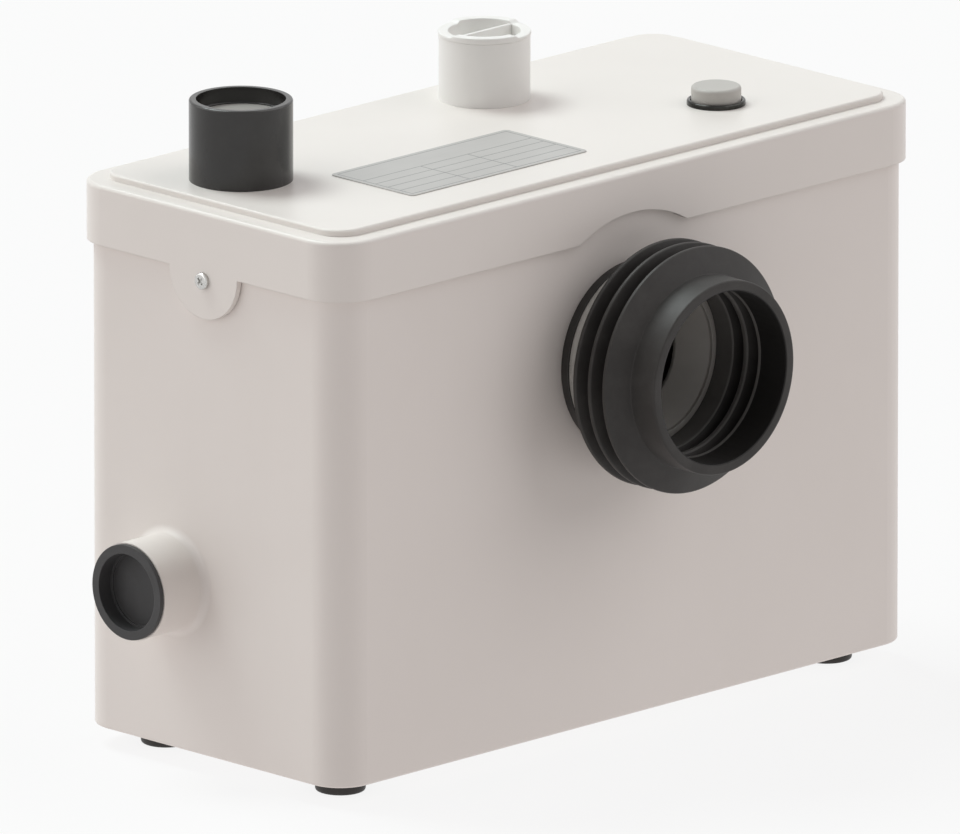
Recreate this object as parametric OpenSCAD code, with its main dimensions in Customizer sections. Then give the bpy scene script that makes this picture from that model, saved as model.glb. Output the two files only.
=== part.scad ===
// Macerator toilet pump: a closed tank with a lid that takes waste from a toilet pan at the front
// and a basin at the left end, cuts it up and pumps it out through a small pipe on the top.
// Millimetres, +Z up, +X along the tank to the right, front at -Y. The origin is on the floor,
// under the middle of the whole outline.

/* [Tank] */
// Length of the tank body
tank_l = 383.5; // [370:0.5:420]
// Depth of the tank body from front to back
tank_w = 175; // [170:0.5:200]
// Height of the tank from its underside to its rim
tank_h = 260.3; // [250:0.1:290]
// Thickness of the tank walls and floor
tank_wall = 3.5; // [2.5:0.1:4.5]
// Radius of the upright corners of the tank
tank_corner_r = 18; // [12:0.5:24]
// Rounding of the bottom edges of the tank
tank_edge_r = 1.5; // [1:0.1:5]

/* [Feet] */
// Height of the rubber feet under the tank
foot_h = 9.7; // [6:0.1:16]
// Diameter of the rubber feet
foot_d = 24; // [18:0.5:30]
// Distance of each foot from the two nearest tank sides
foot_inset = 29; // [24:0.5:40]
// Depth of the sockets in the tank underside that hold the feet
foot_socket = 1.4; // [0.6:0.1:2]

/* [Lid] */
// Height of the lid's outer skirt
lid_h = 29.1; // [22:0.1:36]
// Thickness of the lid plate and of the raised panel
lid_wall = 3; // [2:0.1:4]
// Thickness of the lid skirt
skirt_wall = 2.85; // [2:0.05:4]
// Rounding of the lid's upper edge
lid_edge_r = 2; // [0.5:0.1:2.5]
// Width of the step around the raised panel
panel_inset = 10; // [7:0.5:14]
// Height of the raised panel above the step
panel_h = 3.2; // [2:0.1:5]
// Rounding of the raised panel's upper edge
panel_edge_r = 1.2; // [0.4:0.1:1.8]
// Corner radius of the raised panel
panel_corner_r = 13.5; // [8:0.5:18]
// Thickness of the seal between lid and tank rim
gasket_t = 2.5; // [1.5:0.1:4]
// Radius of the half-round fixing tab at each end of the lid
tab_r = 22.6; // [16:0.2:28]
// Distance of the lid screws below the lid's lower edge
tab_screw_drop = 4; // [0:0.5:8]
// Gap between the arch in the lid's front skirt and the edge of the largest sleeve fin
arch_gap = 10.1; // [6:0.1:13]

/* [Lid screws] */
// Diameter of the lid screws' heads
screw_head_d = 8.2; // [6:0.1:10]
// Height of the lid screws' heads
screw_head_h = 2.2; // [1.5:0.1:3.5]
// Shank diameter of the lid screws
screw_d = 3.9; // [3:0.1:5]
// Length of the screw bosses inside the tank ends
screw_boss_l = 12; // [8:0.5:18]

/* [Pan inlet] */
// Height of the pan inlet's centre above the floor
inlet_z = 186.8; // [180:0.1:200]
// Outside radius of the tank collar that the sleeve is clamped on
collar_r = 41; // [38:0.5:43]
// Wall of that collar
collar_wall = 2.5; // [2:0.1:4]
// Length of that collar in front of the tank wall
collar_l = 16.5; // [14:0.5:18]
// Wall of the rubber sleeve where it is clamped
sleeve_wall = 2.9; // [2:0.1:4]
// Height of the sleeve's end bead beside the clamp
end_bead_h = 1.45; // [0.8:0.05:2]
// Radius of the sleeve's three fins
fin_r = 59.3; // [54:0.1:63]
// Distance of the first fin from the tank wall
fin_start = 22.7; // [22:0.1:25]
// Spacing of the fins
fin_pitch = 9.65; // [8.5:0.05:11]
// Wall of the folded stretch of the sleeve
fold_wall = 2.4; // [1.6:0.1:3]
// Outside radius of the valleys between the fins
valley_r = 46; // [44.5:0.1:48]
// Inside radius of the ridges between the folds
ridge_r = 41.3; // [40:0.1:43.5]
// Inside radius of the sleeve's mouth
mouth_r = 41.6; // [38:0.1:43]
// Wall of the sleeve's mouth
mouth_wall = 5; // [3:0.1:6]
// Length of the mouth's straight bore
mouth_l = 15.3; // [10:0.1:30]
// Length of the shoulder between the last fin and the mouth
shoulder_l = 5.8; // [4:0.1:8]
// Radius of the throat in the splash ring
throat_r = 27; // [24:0.5:32]
// Distance of that throat in front of the tank wall
throat_out = 4; // [3:0.5:9]
// Wall of the splash ring
baffle_wall = 1.6; // [1:0.1:2.4]
// Width of the clamp band
clamp_w = 7.5; // [6:0.5:9]
// Thickness of the clamp band
clamp_t = 1; // [0.6:0.1:1.6]
// Distance of the clamp band from the tank wall
clamp_start = 5.1; // [3:0.1:7]

/* [Discharge] */
// Distance of the discharge from the tank's left end
discharge_in = 44.15; // [40:0.05:52]
// Distance of the discharge behind the tank's middle
discharge_back = 22.8; // [15:0.1:28]
// Height of the discharge socket above the lid panel
socket_h = 39; // [30:0.5:60]
// Radius of the free bore at the mouth of the discharge socket
socket_r = 21.25; // [20.5:0.05:24]
// Wall of the discharge socket
socket_wall = 3.3; // [2:0.1:5]
// Depth of the blanking plug below the socket's rim
plug_depth = 7.4; // [5:0.1:12]
// Thickness of the blanking plug
plug_t = 6; // [4:0.1:8]
// Step from the mouth of the socket down to the bore that grips the plug
socket_step = 0.3; // [0.2:0.05:0.6]
// Inside radius of the discharge pipe
pipe_r = 14; // [11:0.1:14.5]
// Wall of the discharge pipe and of the valve chamber
pipe_wall = 3; // [2:0.1:3.5]
// Radius of the pipe bends along their centre line
bend_r = 22.5; // [20:0.5:28]
// Length of the push-fit pipe joints
joint_l = 8; // [6:0.5:12]
// Inside radius of the valve chamber
chamber_r = 26; // [25.5:0.1:28]
// Inside height of the valve chamber
chamber_h = 40; // [39.5:0.5:42]
// Radius of the valve seat
seat_r = 13; // [10:0.1:13.5]
// Radius of the valve flap
flap_r = 17; // [15.5:0.1:17.5]
// Thickness of the valve flaps
flap_t = 3; // [2:0.1:4]
// Radius of the flap hinge pins
flap_pin_r = 1.5; // [1:0.1:2]

/* [Side inlet] */
// Distance of the side inlet behind the tank's middle
side_y = 25.5; // [0:0.5:40]
// Height of the side inlet above the floor
side_z = 90.8; // [60:0.1:120]
// Outside radius of the side inlet spigot
side_r = 23.4; // [18:0.1:26]
// Wall of the side inlet spigot
side_wall = 3.3; // [2:0.1:4]
// Reach of the side inlet in front of the tank end, with its plug
side_l = 29.2; // [20:0.1:45]
// Rounding where the spigot meets the tank
side_fillet = 4; // [1:0.1:6]
// Amount by which the plug's rim stays inside the spigot's outside
plug_rim = 0.5; // [0.3:0.1:1.5]
// Thickness of the plug's rim
plug_rim_t = 2.4; // [1.5:0.1:4]
// Length of the plug's body inside the spigot
plug_l = 15; // [13:0.5:18]
// Wall of the plug around its recess
plug_wall = 1.2; // [1:0.1:3]
// Depth of the plug's recess
recess_depth = 9; // [6:0.1:12]
// Width of the low step ring on the recess floor
recess_step = 1; // [0.5:0.1:2]

/* [Vent neck and cap] */
// Distance of the vent neck to the right of the tank's middle
vent_x = 39.5; // [30:0.5:60]
// Distance of the vent neck behind the tank's middle
vent_y = 48.6; // [40:0.1:50]
// Outside radius of the vent neck
neck_r = 21.8; // [19:0.1:26]
// Wall of the vent neck
neck_wall = 2.8; // [2:0.1:4]
// Height of the vent neck above the lid panel
neck_h = 31.2; // [26:0.1:45]
// Thickness of the cap's flange
cap_flange_t = 1.4; // [1:0.1:3]
// Height of the two raised lips on the cap's flange
cap_lip_h = 1.3; // [0.6:0.1:3]
// Amount by which the cap's flange stands out over the neck
cap_over = 0.4; // [0.2:0.1:1.5]
// Depth of the finger recess in the cap
cap_recess = 10; // [6:0.5:12]
// Wall of the cap
cap_wall = 1.5; // [1:0.1:2.5]
// Thickness of the grip bar across the cap
bar_t = 2; // [1.5:0.1:4]
// Thickness of the charcoal filter disc below the cap
filter_t = 12; // [6:0.5:14]
// Width of the ledge that carries the filter
filter_ledge = 3; // [2:0.1:5]
// Cross-section radius of the cap's seal ring
seal_ring_r = 1.1; // [0.8:0.1:1.2]

/* [Button] */
// Distance of the button to the right of the tank's middle
button_x = 109; // [95:0.5:125]
// Distance of the button in front of the tank's middle
button_front = 37; // [20:0.5:45]
// Radius of the button
button_r = 11.9; // [9:0.1:14]
// Height of the button above the lid panel at rest
button_h = 9; // [6:0.1:12]
// Travel of the button
button_travel = 3.5; // [2:0.1:4.5]
// Rounding of the button's upper edge
button_edge_r = 1.5; // [0.5:0.1:2]
// Outside radius of the bright ring around the button
bezel_r = 14.05; // [13.6:0.05:17]
// Height of the bright ring
bezel_h = 2.4; // [1.5:0.1:4]
// Depth of the button housing below the lid panel
housing_l = 22; // [20:0.5:28]
// Wire diameter of the button's return spring
spring_wire = 1; // [0.6:0.1:1.2]
// Turns of the button's return spring
spring_turns = 4; // [3:1:6]

/* [Rating plate] */
// Length of the plate
plate_l = 117; // [80:1:120]
// Width of the plate
plate_w = 55; // [40:0.5:58]
// Thickness of the plate
plate_t = 0.5; // [0.3:0.1:1]
// Distance of the plate's middle to the left of the tank's middle
plate_left = 55.2; // [50:0.2:58]
// Distance of the plate's middle in front of the tank's middle
plate_front = 29.7; // [20:0.1:40]

/* [Motor] */
// Height of the shaft above the tank floor
shaft_h = 70; // [69:0.5:72]
// Radius of the shaft
shaft_r = 6; // [5:0.1:7]
// Outside radius of the motor can
can_r = 58; // [54:0.5:58]
// Wall of the motor can
can_wall = 3; // [2:0.1:4]
// Length of the motor can
can_l = 92; // [90:0.5:96]
// Radius of the motor's end plates
end_plate_r = 68; // [67:0.5:68.5]
// Thickness of the motor's front plate
front_plate_t = 14; // [13:0.5:16]
// Thickness of the motor's rear cap
rear_cap_t = 14; // [13:0.5:16]
// Outside radius of the shaft bearings
bearing_r = 16; // [13:0.5:18]
// Width of the shaft bearings
bearing_w = 10; // [8:0.5:11]
// Length of the laminated motor cores
core_l = 48; // [40:0.5:50]
// Outside radius of the rotor
rotor_r = 29.5; // [25:0.1:32]
// Radial gap between rotor and stator
air_gap = 0.5; // [0.4:0.1:1]
// Length of each winding head
winding_l = 13; // [8:0.5:15]
// Radial depth of the winding heads
winding_t = 16; // [10:0.5:18]
// Diameter of the motor's long bolts
tie_d = 4; // [3:0.1:5]
// Length of the saddle below the motor
cradle_l = 40; // [20:0.5:60]
// Width of the saddle below the motor
cradle_w = 80; // [50:1:90]

/* [Cutter] */
// Outside radius of the cutting basket
basket_r = 55; // [52:0.5:56]
// Wall of the cutting basket
basket_wall = 2; // [1.5:0.1:3]
// Length of the cutting basket
basket_l = 90; // [86:0.5:92]
// Radius of the holes in the basket
basket_hole_r = 4; // [2.5:0.1:4.5]
// Radius of the cutter's arms
blade_reach = 46; // [40:0.5:48]
// Thickness of the cutter's arms
blade_t = 4; // [3:0.1:6]
// Width of the cutter's arms
blade_w = 16; // [12:0.5:20]

/* [Pump] */
// Inside radius of the pump casing
casing_r = 40; // [38:0.5:42]
// Wall of the pump casing
casing_wall = 5; // [3:0.1:6]
// Inside length of the pump casing
casing_l = 36; // [35:0.5:38]
// Thickness of the pump cover
cover_t = 4; // [3:0.1:5]
// Width of the pump casing's flange outside its wall
flange_w = 8; // [7:0.1:10]
// Radius of the impeller
impeller_r = 35; // [30:0.5:36]
// Width of the impeller vanes
vane_w = 20; // [15:0.5:21]
// Thickness of the impeller vanes and disc
vane_t = 3; // [2:0.1:4]
// Number of impeller vanes
vane_count = 6; // [4:1:8]
// Radius of the suction eye in the pump cover
eye_r = 16; // [13:0.1:18]

/* [Level switch] */
// Gap between the level tube and the pump casing
level_gap = 15; // [13:0.5:17]
// Distance of the level tube from the tank's front
level_in = 39.5; // [35.5:0.5:42.5]
// Outside radius of the level tube
level_r = 14; // [10:0.5:18]
// Wall of the level tube
level_wall = 2; // [1.5:0.1:3]
// Height of the level tube from the tank floor to the bell
level_h = 172; // [140:0.5:180]
// Outside radius of the bell at the tube's top
bell_r = 26; // [22:0.5:27]
// Inside height of the bell
bell_h = 9; // [6:0.5:12]
// Thickness of the rubber diaphragm
diaphragm_t = 1.2; // [0.8:0.1:2]
// Height of the diaphragm cover
switch_cover_h = 13; // [11:0.5:16]
// Travel of the switch plunger
plunger_travel = 2; // [1:0.1:3]
// Radius of the switch plunger's stem
plunger_r = 3.5; // [2.5:0.1:5]

/* [Control box] */
// Length of the control box
box_l = 86; // [60:0.5:88]
// Width of the control box
box_w = 80; // [60:0.5:90]
// Height of the control box
box_h = 60; // [54:0.5:66]
// Wall of the control box
box_wall = 2.5; // [2:0.1:4]
// Thickness of the control box lid
box_lid_t = 2.5; // [2:0.1:4]
// Radius of the motor capacitor
capacitor_r = 15; // [12:0.5:17]
// Length of the motor capacitor
capacitor_l = 60; // [40:0.5:64]
// Thickness of the circuit board
board_t = 1.6; // [1:0.1:2.4]

/* [Cable gland] */
// Distance of the cable gland from the tank's right end
gland_in = 41.75; // [36.75:0.5:71.75]
// Distance of the cable gland below the tank's rim
gland_drop = 46; // [42:0.5:55]
// Radius of the gland's thread
gland_r = 8; // [6:0.1:9]
// Radius of the gland's cable bore
cable_r = 3.8; // [3:0.1:4.5]
// Reach of the gland behind the tank
gland_out = 20; // [15:0.5:30]

/* [Fits] */
// Gap between the lid skirt and the tank walls
lid_gap = 0.4; // [0.2:0.05:0.8]
// Gap round rubber parts and pipes that are pushed together
push_gap = 0.15; // [0.05:0.01:0.3]
// Gap round parts that are pulled out or pressed in use
slide_gap = 0.3; // [0.2:0.01:0.5]
// Running gap round the shaft and the hinge pins
run_gap = 0.05; // [0.02:0.01:0.1]

/* [Hidden] */
$fn = 96;
// Overshoot of every cut past the face that it opens
over = 1;
// Smaller sizes
foot_edge = 1;
screw_slot = 1.1;
mouth_edge = 0.8;
fold_start = 17.2;
screw_tip_gap = 2;
bead_h = 1.6;
clamp_turn = 15;
clamp_block_h = 6;
clamp_block_l = 9;
clamp_screw_l = 18;
clamp_screw_r = 2.4;
socket_edge = 1;
plug_edge = 0.8;
blank_wall = 3;
seat_ring_h = 3;
flap_overlap = 2.4;
hinge_r = 3.2;
ear_mid = 10.5;
ear_t = 3;
barrel_l = 2 * ear_mid - ear_t;
lip_sweep = 90;
housing_wall = 0.9;
stem_r = 3;
button_roof = 3;
button_skirt = 5;
button_nut_t = 4;
nut_land = 4;
stem_over = 2.5;
switch_w = 14;
switch_h = 16;
plate_corner_r = 2.5;
gland_nut_t = 5;
gland_hex = 24;
gland_dome_r = 10.4;
seal_r = 13;
seal_l = 8;
seal_wall = 4;
winding_step = 3;
tie_turn = 45;
bolt_head_w = 7;
bolt_head_h = 2.8;
end_share = 0.13;
cutter_back = 5;
basket_margin = 14;
basket_open = 80;
hole_rows = 5;
hole_spread = 60;
hole_turn = 30;
vane_gap = 3;
vane_lean = 35;
hub_wall = 3.6;
impeller_nut_w = 18;
impeller_nut_t = 6;
screw_turn = 25;
casing_foot_l = 24;
casing_foot_w = 26;
level_notch = 8;
plunger_over = 1;
board_lift = 5;
peg_r = 2.5;
rail_w = 10;
rail_gap = 1;
lid_rib = 5;
relay_l = 20;
relay_h = 10;
terminal_l = 15;
terminal_h = 7;
tag_r = 1.3;
tag_l = 4;
wire_sides = 6;
rings_per_turn = 16;

// Heights of the tank floor, the rim and the lid's faces
floor_z = foot_h + tank_wall;
rim_z = foot_h + tank_h;
lid_under_z = rim_z + gasket_t;
step_z = lid_under_z + lid_wall;
panel_z = step_z + panel_h;
panel_under_z = panel_z - lid_wall;
skirt_z = step_z - lid_h;
// Outline of the lid
end_x = tank_l / 2;
front_y = -tank_w / 2;
lid_l = tank_l + 2 * (lid_gap + skirt_wall);
lid_w = tank_w + 2 * (lid_gap + skirt_wall);
lid_corner_r = tank_corner_r + lid_gap + skirt_wall;
// The pan sleeve, measured outwards from the tank's front wall
sleeve_in_r = collar_r + push_gap;
sleeve_r = sleeve_in_r + sleeve_wall;
last_fin = fin_start + 2 * fin_pitch;
sleeve_l = last_fin + shoulder_l + mouth_l;
// The discharge, from the socket down to the pump
discharge_x = discharge_in - end_x;
grip_r = socket_r - socket_step;
spigot_r = grip_r - push_gap;
plug_top_z = panel_z + socket_h - plug_depth - slide_gap;
spigot_top_z = plug_top_z - plug_t - slide_gap;
pipe_out_r = pipe_r + pipe_wall;
// The side inlet, measured outwards from the tank's left end
side_bore_r = side_r - side_wall;
side_flap_r = side_bore_r + flap_overlap;
side_seat = tank_wall + seat_ring_h;
side_pin_in = side_seat + slide_gap + flap_t / 2;
side_pin_up = side_flap_r + hinge_r + slide_gap;
// The vent neck and its cap, measured upwards from the lid panel
neck_bore_r = neck_r - neck_wall;
cap_r = neck_bore_r - slide_gap;
cap_seat = neck_h + slide_gap;
cap_floor = cap_seat + cap_flange_t - cap_recess;
ring_mid_r = neck_bore_r - run_gap - seal_ring_r;
groove_h = 2 * (seal_ring_r + slide_gap);
cap_bottom = cap_floor - 2 * cap_wall - groove_h;
ring_mid = cap_bottom + cap_wall + groove_h / 2;
// The button, measured upwards from the lid panel
button_y = -button_front;
button_bore_r = button_r + slide_gap;
housing_r = button_bore_r + housing_wall;
stem_end = -housing_l - stem_over;
// The pump set along the shaft
shaft_z = floor_z + shaft_h;
pump_l = casing_wall + casing_l + cover_t + basket_l;
motor_l = front_plate_t + can_l + rear_cap_t + bolt_head_h;
motor_gap = end_share * (tank_l - 2 * tank_wall - pump_l - motor_l);
plate_x = end_x - tank_wall - motor_gap - motor_l;
can_x = plate_x + front_plate_t;
cap_x = can_x + can_l;
basket_x = plate_x - basket_l;
blade_x = basket_x + basket_l / 2 - cutter_back - blade_w / 2;
motor_mid = can_x + can_l / 2;
stator_out_r = can_r - can_wall - push_gap;
bore_r = shaft_r + run_gap;
tie_r = (can_r + end_plate_r) / 2;
cover_x = basket_x - cover_t;
casing_x = cover_x - casing_l;
casing_out_r = casing_r + casing_wall;
flange_r = casing_out_r + flange_w;
outlet_x = cover_x - casing_l / 2;
outlet_z = shaft_z + flange_r + joint_l + 2 * slide_gap;
shroud_x = cover_x - vane_w - vane_t - vane_gap;
shaft_end = shroud_x - impeller_nut_t;
// The pipe from the pump to the valve
run_z = outlet_z + bend_r;
valve_socket_z = run_z + bend_r;
valve_z = valve_socket_z + joint_l;
seat_z = valve_z + pipe_wall;
flap_pin_x = discharge_x - flap_r - hinge_r - slide_gap;
flap_pin_z = seat_z + hinge_r + slide_gap;
chamber_top_z = seat_z + chamber_h;
// The cable gland
gland_x = end_x - gland_in;
gland_z = rim_z - gland_drop;
// The level switch
level_x = casing_x - casing_wall - level_gap - level_r;
level_y = front_y + level_in;
bell_z = floor_z + level_h;
diaphragm_z = bell_z + level_wall + bell_h;
switch_cover_z = diaphragm_z + diaphragm_t;
switch_z = switch_cover_z + switch_cover_h;
// The control box on top of the motor
box_z = shaft_z + can_r + push_gap;
rail_z = shaft_z + tie_r * sin(tie_turn) + tie_d / 2 + rail_gap;
box_floor_z = box_z + box_wall;
board_z = box_floor_z + board_lift;
board_l = box_l - 4 * box_wall;
board_w = box_w - 6 * box_wall - 2 * capacitor_r;
board_y = -box_w / 2 + 2 * box_wall;
capacitor_y = box_w / 2 - 2 * box_wall - capacitor_r;
// Middle of the whole outline, seen from above
mid_x = (lid_l / 2 + screw_head_h - end_x - side_l) / 2;
mid_y = (tank_w / 2 + gland_out + front_y - sleeve_l) / 2;

// Sets a piece, drawn from the tank's middle, in the part's own frame
module place() { translate([-mid_x, -mid_y, 0]) children(); }
// Turns a piece drawn along +Z so that it points out of the tank's front, left end or back
module on_front() { translate([0, front_y, inlet_z]) rotate([90, 0, 0]) children(); }
module on_left() { translate([-end_x, side_y, side_z]) rotate([0, -90, 0]) children(); }
module on_back() { translate([gland_x, tank_w / 2, gland_z]) rotate([-90, 0, 0]) children(); }
// Turns a piece drawn along +Z so that it runs to the right along the pump shaft
module on_shaft(x) { translate([x, 0, shaft_z]) rotate([0, 90, 0]) children(); }
module at_discharge(z) { translate([discharge_x, discharge_back, z]) children(); }
module at_vent(z) { translate([vent_x, vent_y, panel_z + z]) children(); }
module at_button(z) { translate([button_x, button_y, panel_z + z]) children(); }
module at_level(z) { translate([level_x, level_y, z]) children(); }
module at_ends() { for (s = [0, 180]) rotate([0, 0, s]) translate([end_x, 0, skirt_z]) children(); }
module at_feet() {
  for (sx = [-1, 1], sy = [-1, 1])
    translate([sx * (end_x - foot_inset), sy * (tank_w / 2 - foot_inset), 0]) children();
}
module around(count, r, first = 0) {
  for (i = [0 : count - 1]) rotate([0, 0, first + i * 360 / count]) translate([r, 0, 0]) children();
}

// A rectangle with round corners
module round_rect(l, w, r) {
  square([l - 2 * r, w], center = true);
  square([l, w - 2 * r], center = true);
  for (sx = [-1, 1], sy = [-1, 1]) translate([sx * (l / 2 - r), sy * (w / 2 - r)]) circle(r);
}
// The upright section of a slab whose upper edges are rounded by e
module soft_section(l, h, e) {
  translate([-l / 2, 0]) square([l, h - e]);
  translate([-l / 2 + e, 0]) square([l - 2 * e, h]);
  for (s = [-1, 1]) translate([s * (l / 2 - e), h - e]) circle(e);
}
// A slab with round upright corners r and rounded upper edges e, standing on Z = 0
module soft_slab(l, w, h, r, e) {
  for (sx = [-1, 1], sy = [-1, 1])
    translate([sx * (l / 2 - r), sy * (w / 2 - r), 0])
      rotate_extrude() intersection() { soft_section(2 * r, h, e); square([r, h]); }
  rotate([90, 0, 90]) linear_extrude(l - 2 * r, center = true) soft_section(w, h, e);
  rotate([90, 0, 0]) linear_extrude(w - 2 * r, center = true) soft_section(l, h, e);
}
module ring(out_r, in_r, h) {
  difference() {
    cylinder(h = h, r = out_r);
    translate([0, 0, -over]) cylinder(h = h + 2 * over, r = in_r);
  }
}
module hex(across, h) { cylinder(h = h, r = across / sqrt(3), $fn = 6); }
// A quarter bend of a round bar in the XZ plane, from +Z at the origin towards -X
module bend(r) {
  translate([-bend_r, 0, 0]) rotate([90, 0, 0])
    rotate_extrude(angle = 90) translate([bend_r, 0]) circle(r);
}
// The run of the discharge pipe as a round bar of radius r, from the pump outlet to the valve
module pipe_run(r) {
  translate([outlet_x, discharge_back, outlet_z]) bend(r);
  translate([discharge_x + bend_r, discharge_back, run_z]) rotate([0, 90, 0])
    cylinder(h = outlet_x - discharge_x - 2 * bend_r, r = r);
  at_discharge(valve_socket_z) rotate([0, 180, 0]) bend(r);
  at_discharge(valve_socket_z) cylinder(h = joint_l, r = r);
}
// A pair of hinge ears with a pin hole, the pin along Y at the origin, standing on the plane Z = -foot
module ears(foot) {
  for (s = [-1, 1]) translate([0, s * ear_mid, 0]) difference() {
    translate([-hinge_r, -ear_t / 2, -foot]) cube([2 * hinge_r, ear_t, foot + hinge_r]);
    rotate([90, 0, 0]) cylinder(h = 2 * ear_t, r = flap_pin_r + run_gap, center = true);
  }
}
// A round flap of radius r, its hinge barrel along Y at the origin and its disc towards +X
module flap(r, reach, under) {
  difference() {
    union() {
      translate([reach, 0, -under]) cylinder(h = flap_t, r = r);
      translate([0, -barrel_l / 2 + slide_gap, -under]) cube([reach, barrel_l - 2 * slide_gap, flap_t]);
      rotate([90, 0, 0]) cylinder(h = barrel_l - 2 * slide_gap, r = hinge_r, center = true);
    }
    rotate([90, 0, 0]) cylinder(h = barrel_l, r = flap_pin_r + run_gap, center = true);
  }
}
module hinge_pin() {
  rotate([90, 0, 0]) cylinder(h = 2 * ear_mid + ear_t, r = flap_pin_r, center = true);
}

// One ring of points round the wire of a helix, and the closed wire
function wire_ring(turn, radius, pitch, r) = [for (k = [0 : wire_sides - 1])
  let (a = k * 360 / wire_sides, out = radius + r * cos(a))
  [out * cos(turn * 360), out * sin(turn * 360), pitch * turn + r * sin(a)]];
module coil(radius, pitch, turns, r) {
  last = turns * rings_per_turn;
  points = [for (i = [0 : last]) each wire_ring(i / rings_per_turn, radius, pitch, r)];
  side = [for (i = [0 : last - 1], k = [0 : wire_sides - 1])
    let (n = (k + 1) % wire_sides, p = i * wire_sides, q = p + wire_sides)
    each [[p + k, q + k, p + n], [p + n, q + k, q + n]]];
  start = [for (k = [1 : wire_sides - 2]) [0, k, k + 1]];
  finish = [for (k = [1 : wire_sides - 2])
    [last * wire_sides, last * wire_sides + k + 1, last * wire_sides + k]];
  polyhedron(points, concat(side, start, finish));
}

module tank() {
  place() color("whitesmoke") difference() {
    union() {
      difference() {
        translate([0, 0, rim_z]) mirror([0, 0, 1])
          soft_slab(tank_l, tank_w, tank_h, tank_corner_r, tank_edge_r);
        translate([0, 0, floor_z]) linear_extrude(tank_h)
          round_rect(tank_l - 2 * tank_wall, tank_w - 2 * tank_wall, tank_corner_r - tank_wall);
      }
      on_left() translate([0, 0, -side_seat]) cylinder(h = side_seat - tank_wall / 2, r = side_flap_r + slide_gap);
      on_left() translate([side_pin_up, 0, -side_pin_in]) rotate([0, 180, 0])
        ears(side_pin_in - tank_wall / 2);
      at_ends() translate([-tank_wall, 0, -tab_screw_drop]) rotate([0, -90, 0])
        cylinder(h = screw_boss_l, r = screw_d);
    }
    on_front() translate([0, 0, -tank_wall - over])
      cylinder(h = tank_wall + 2 * over, r = collar_r - collar_wall);
    on_left() translate([0, 0, -side_seat - over]) cylinder(h = side_seat + 2 * over, r = side_bore_r);
    on_back() translate([0, 0, -tank_wall - over])
      cylinder(h = tank_wall + 2 * over, r = gland_r + push_gap);
    at_ends() translate([over, 0, -tab_screw_drop]) rotate([0, -90, 0])
      cylinder(h = tank_wall + screw_boss_l + 2 * over, r = screw_d / 2 + run_gap);
    at_feet() translate([0, 0, foot_h - over])
      cylinder(h = foot_socket + over, r = foot_d / 2 + push_gap);
  }
}

module pan_collar() {
  place() color("whitesmoke") on_front() ring(collar_r, collar_r - collar_wall, collar_l);
}

module side_spigot() {
  place() color("whitesmoke") on_left() difference() {
    union() {
      cylinder(h = side_l - plug_rim_t, r = side_r);
      rotate_extrude() difference() {
        square([side_r + side_fillet, side_fillet]);
        translate([side_r + side_fillet, side_fillet]) circle(side_fillet);
      }
    }
    translate([0, 0, -over]) cylinder(h = side_l + over, r = side_bore_r);
  }
}

module rubber_feet() {
  place() color("dimgray") at_feet() {
    cylinder(h = foot_edge, r1 = foot_d / 2 - foot_edge, r2 = foot_d / 2);
    translate([0, 0, foot_edge]) cylinder(h = foot_h + foot_socket - foot_edge, r = foot_d / 2);
  }
}

module lid() {
  place() color("white") difference() {
    union() {
      translate([0, 0, skirt_z]) soft_slab(lid_l, lid_w, lid_h, lid_corner_r, lid_edge_r);
      translate([0, 0, step_z - lid_edge_r])
        soft_slab(lid_l - 2 * panel_inset, lid_w - 2 * panel_inset, panel_h + lid_edge_r,
          panel_corner_r, panel_edge_r);
      at_ends() translate([lid_gap, 0, 0]) rotate([0, 90, 0]) cylinder(h = skirt_wall, r = tab_r);
    }
    translate([0, 0, skirt_z - tab_r - over]) linear_extrude(lid_under_z - skirt_z + tab_r + over)
      round_rect(tank_l + 2 * lid_gap, tank_w + 2 * lid_gap, tank_corner_r + lid_gap);
    translate([0, 0, lid_under_z - over]) linear_extrude(panel_under_z - lid_under_z + over)
      round_rect(lid_l - 2 * (panel_inset + lid_wall), lid_w - 2 * (panel_inset + lid_wall),
        panel_corner_r - lid_wall);
    on_front() cylinder(h = lid_w, r = fin_r + arch_gap);
    at_vent(-lid_wall - over) cylinder(h = lid_wall + 2 * over, r = neck_bore_r - filter_ledge);
    at_discharge(panel_under_z - over) cylinder(h = lid_wall + 2 * over, r = spigot_r + slide_gap);
    at_button(-lid_wall - over) cylinder(h = lid_wall + 2 * over, r = housing_r + push_gap);
    at_ends() translate([lid_gap - over, 0, -tab_screw_drop]) rotate([0, 90, 0])
      cylinder(h = skirt_wall + 2 * over, r = screw_d / 2 + push_gap);
  }
}

module lid_gasket() {
  place() color("gray") translate([0, 0, rim_z]) linear_extrude(gasket_t) difference() {
    round_rect(tank_l, tank_w, tank_corner_r);
    round_rect(tank_l - 2 * tank_wall, tank_w - 2 * tank_wall, tank_corner_r - tank_wall);
  }
}

module lid_screws() {
  head_x = lid_gap + skirt_wall;
  shank_l = head_x + tank_wall + screw_boss_l - screw_tip_gap;
  place() color("silver") at_ends() translate([head_x, 0, -tab_screw_drop]) rotate([0, 90, 0]) {
    difference() {
      rotate_extrude() intersection() {
        soft_section(screw_head_d, screw_head_h, screw_head_h / 2);
        square(screw_head_d);
      }
      for (a = [45, 135]) rotate([0, 0, a]) translate([0, 0, screw_head_h])
        cube([screw_head_d / 2, screw_slot, screw_head_h], center = true);
    }
    translate([0, 0, -shank_l]) cylinder(h = shank_l, r = screw_d / 2);
  }
}

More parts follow.
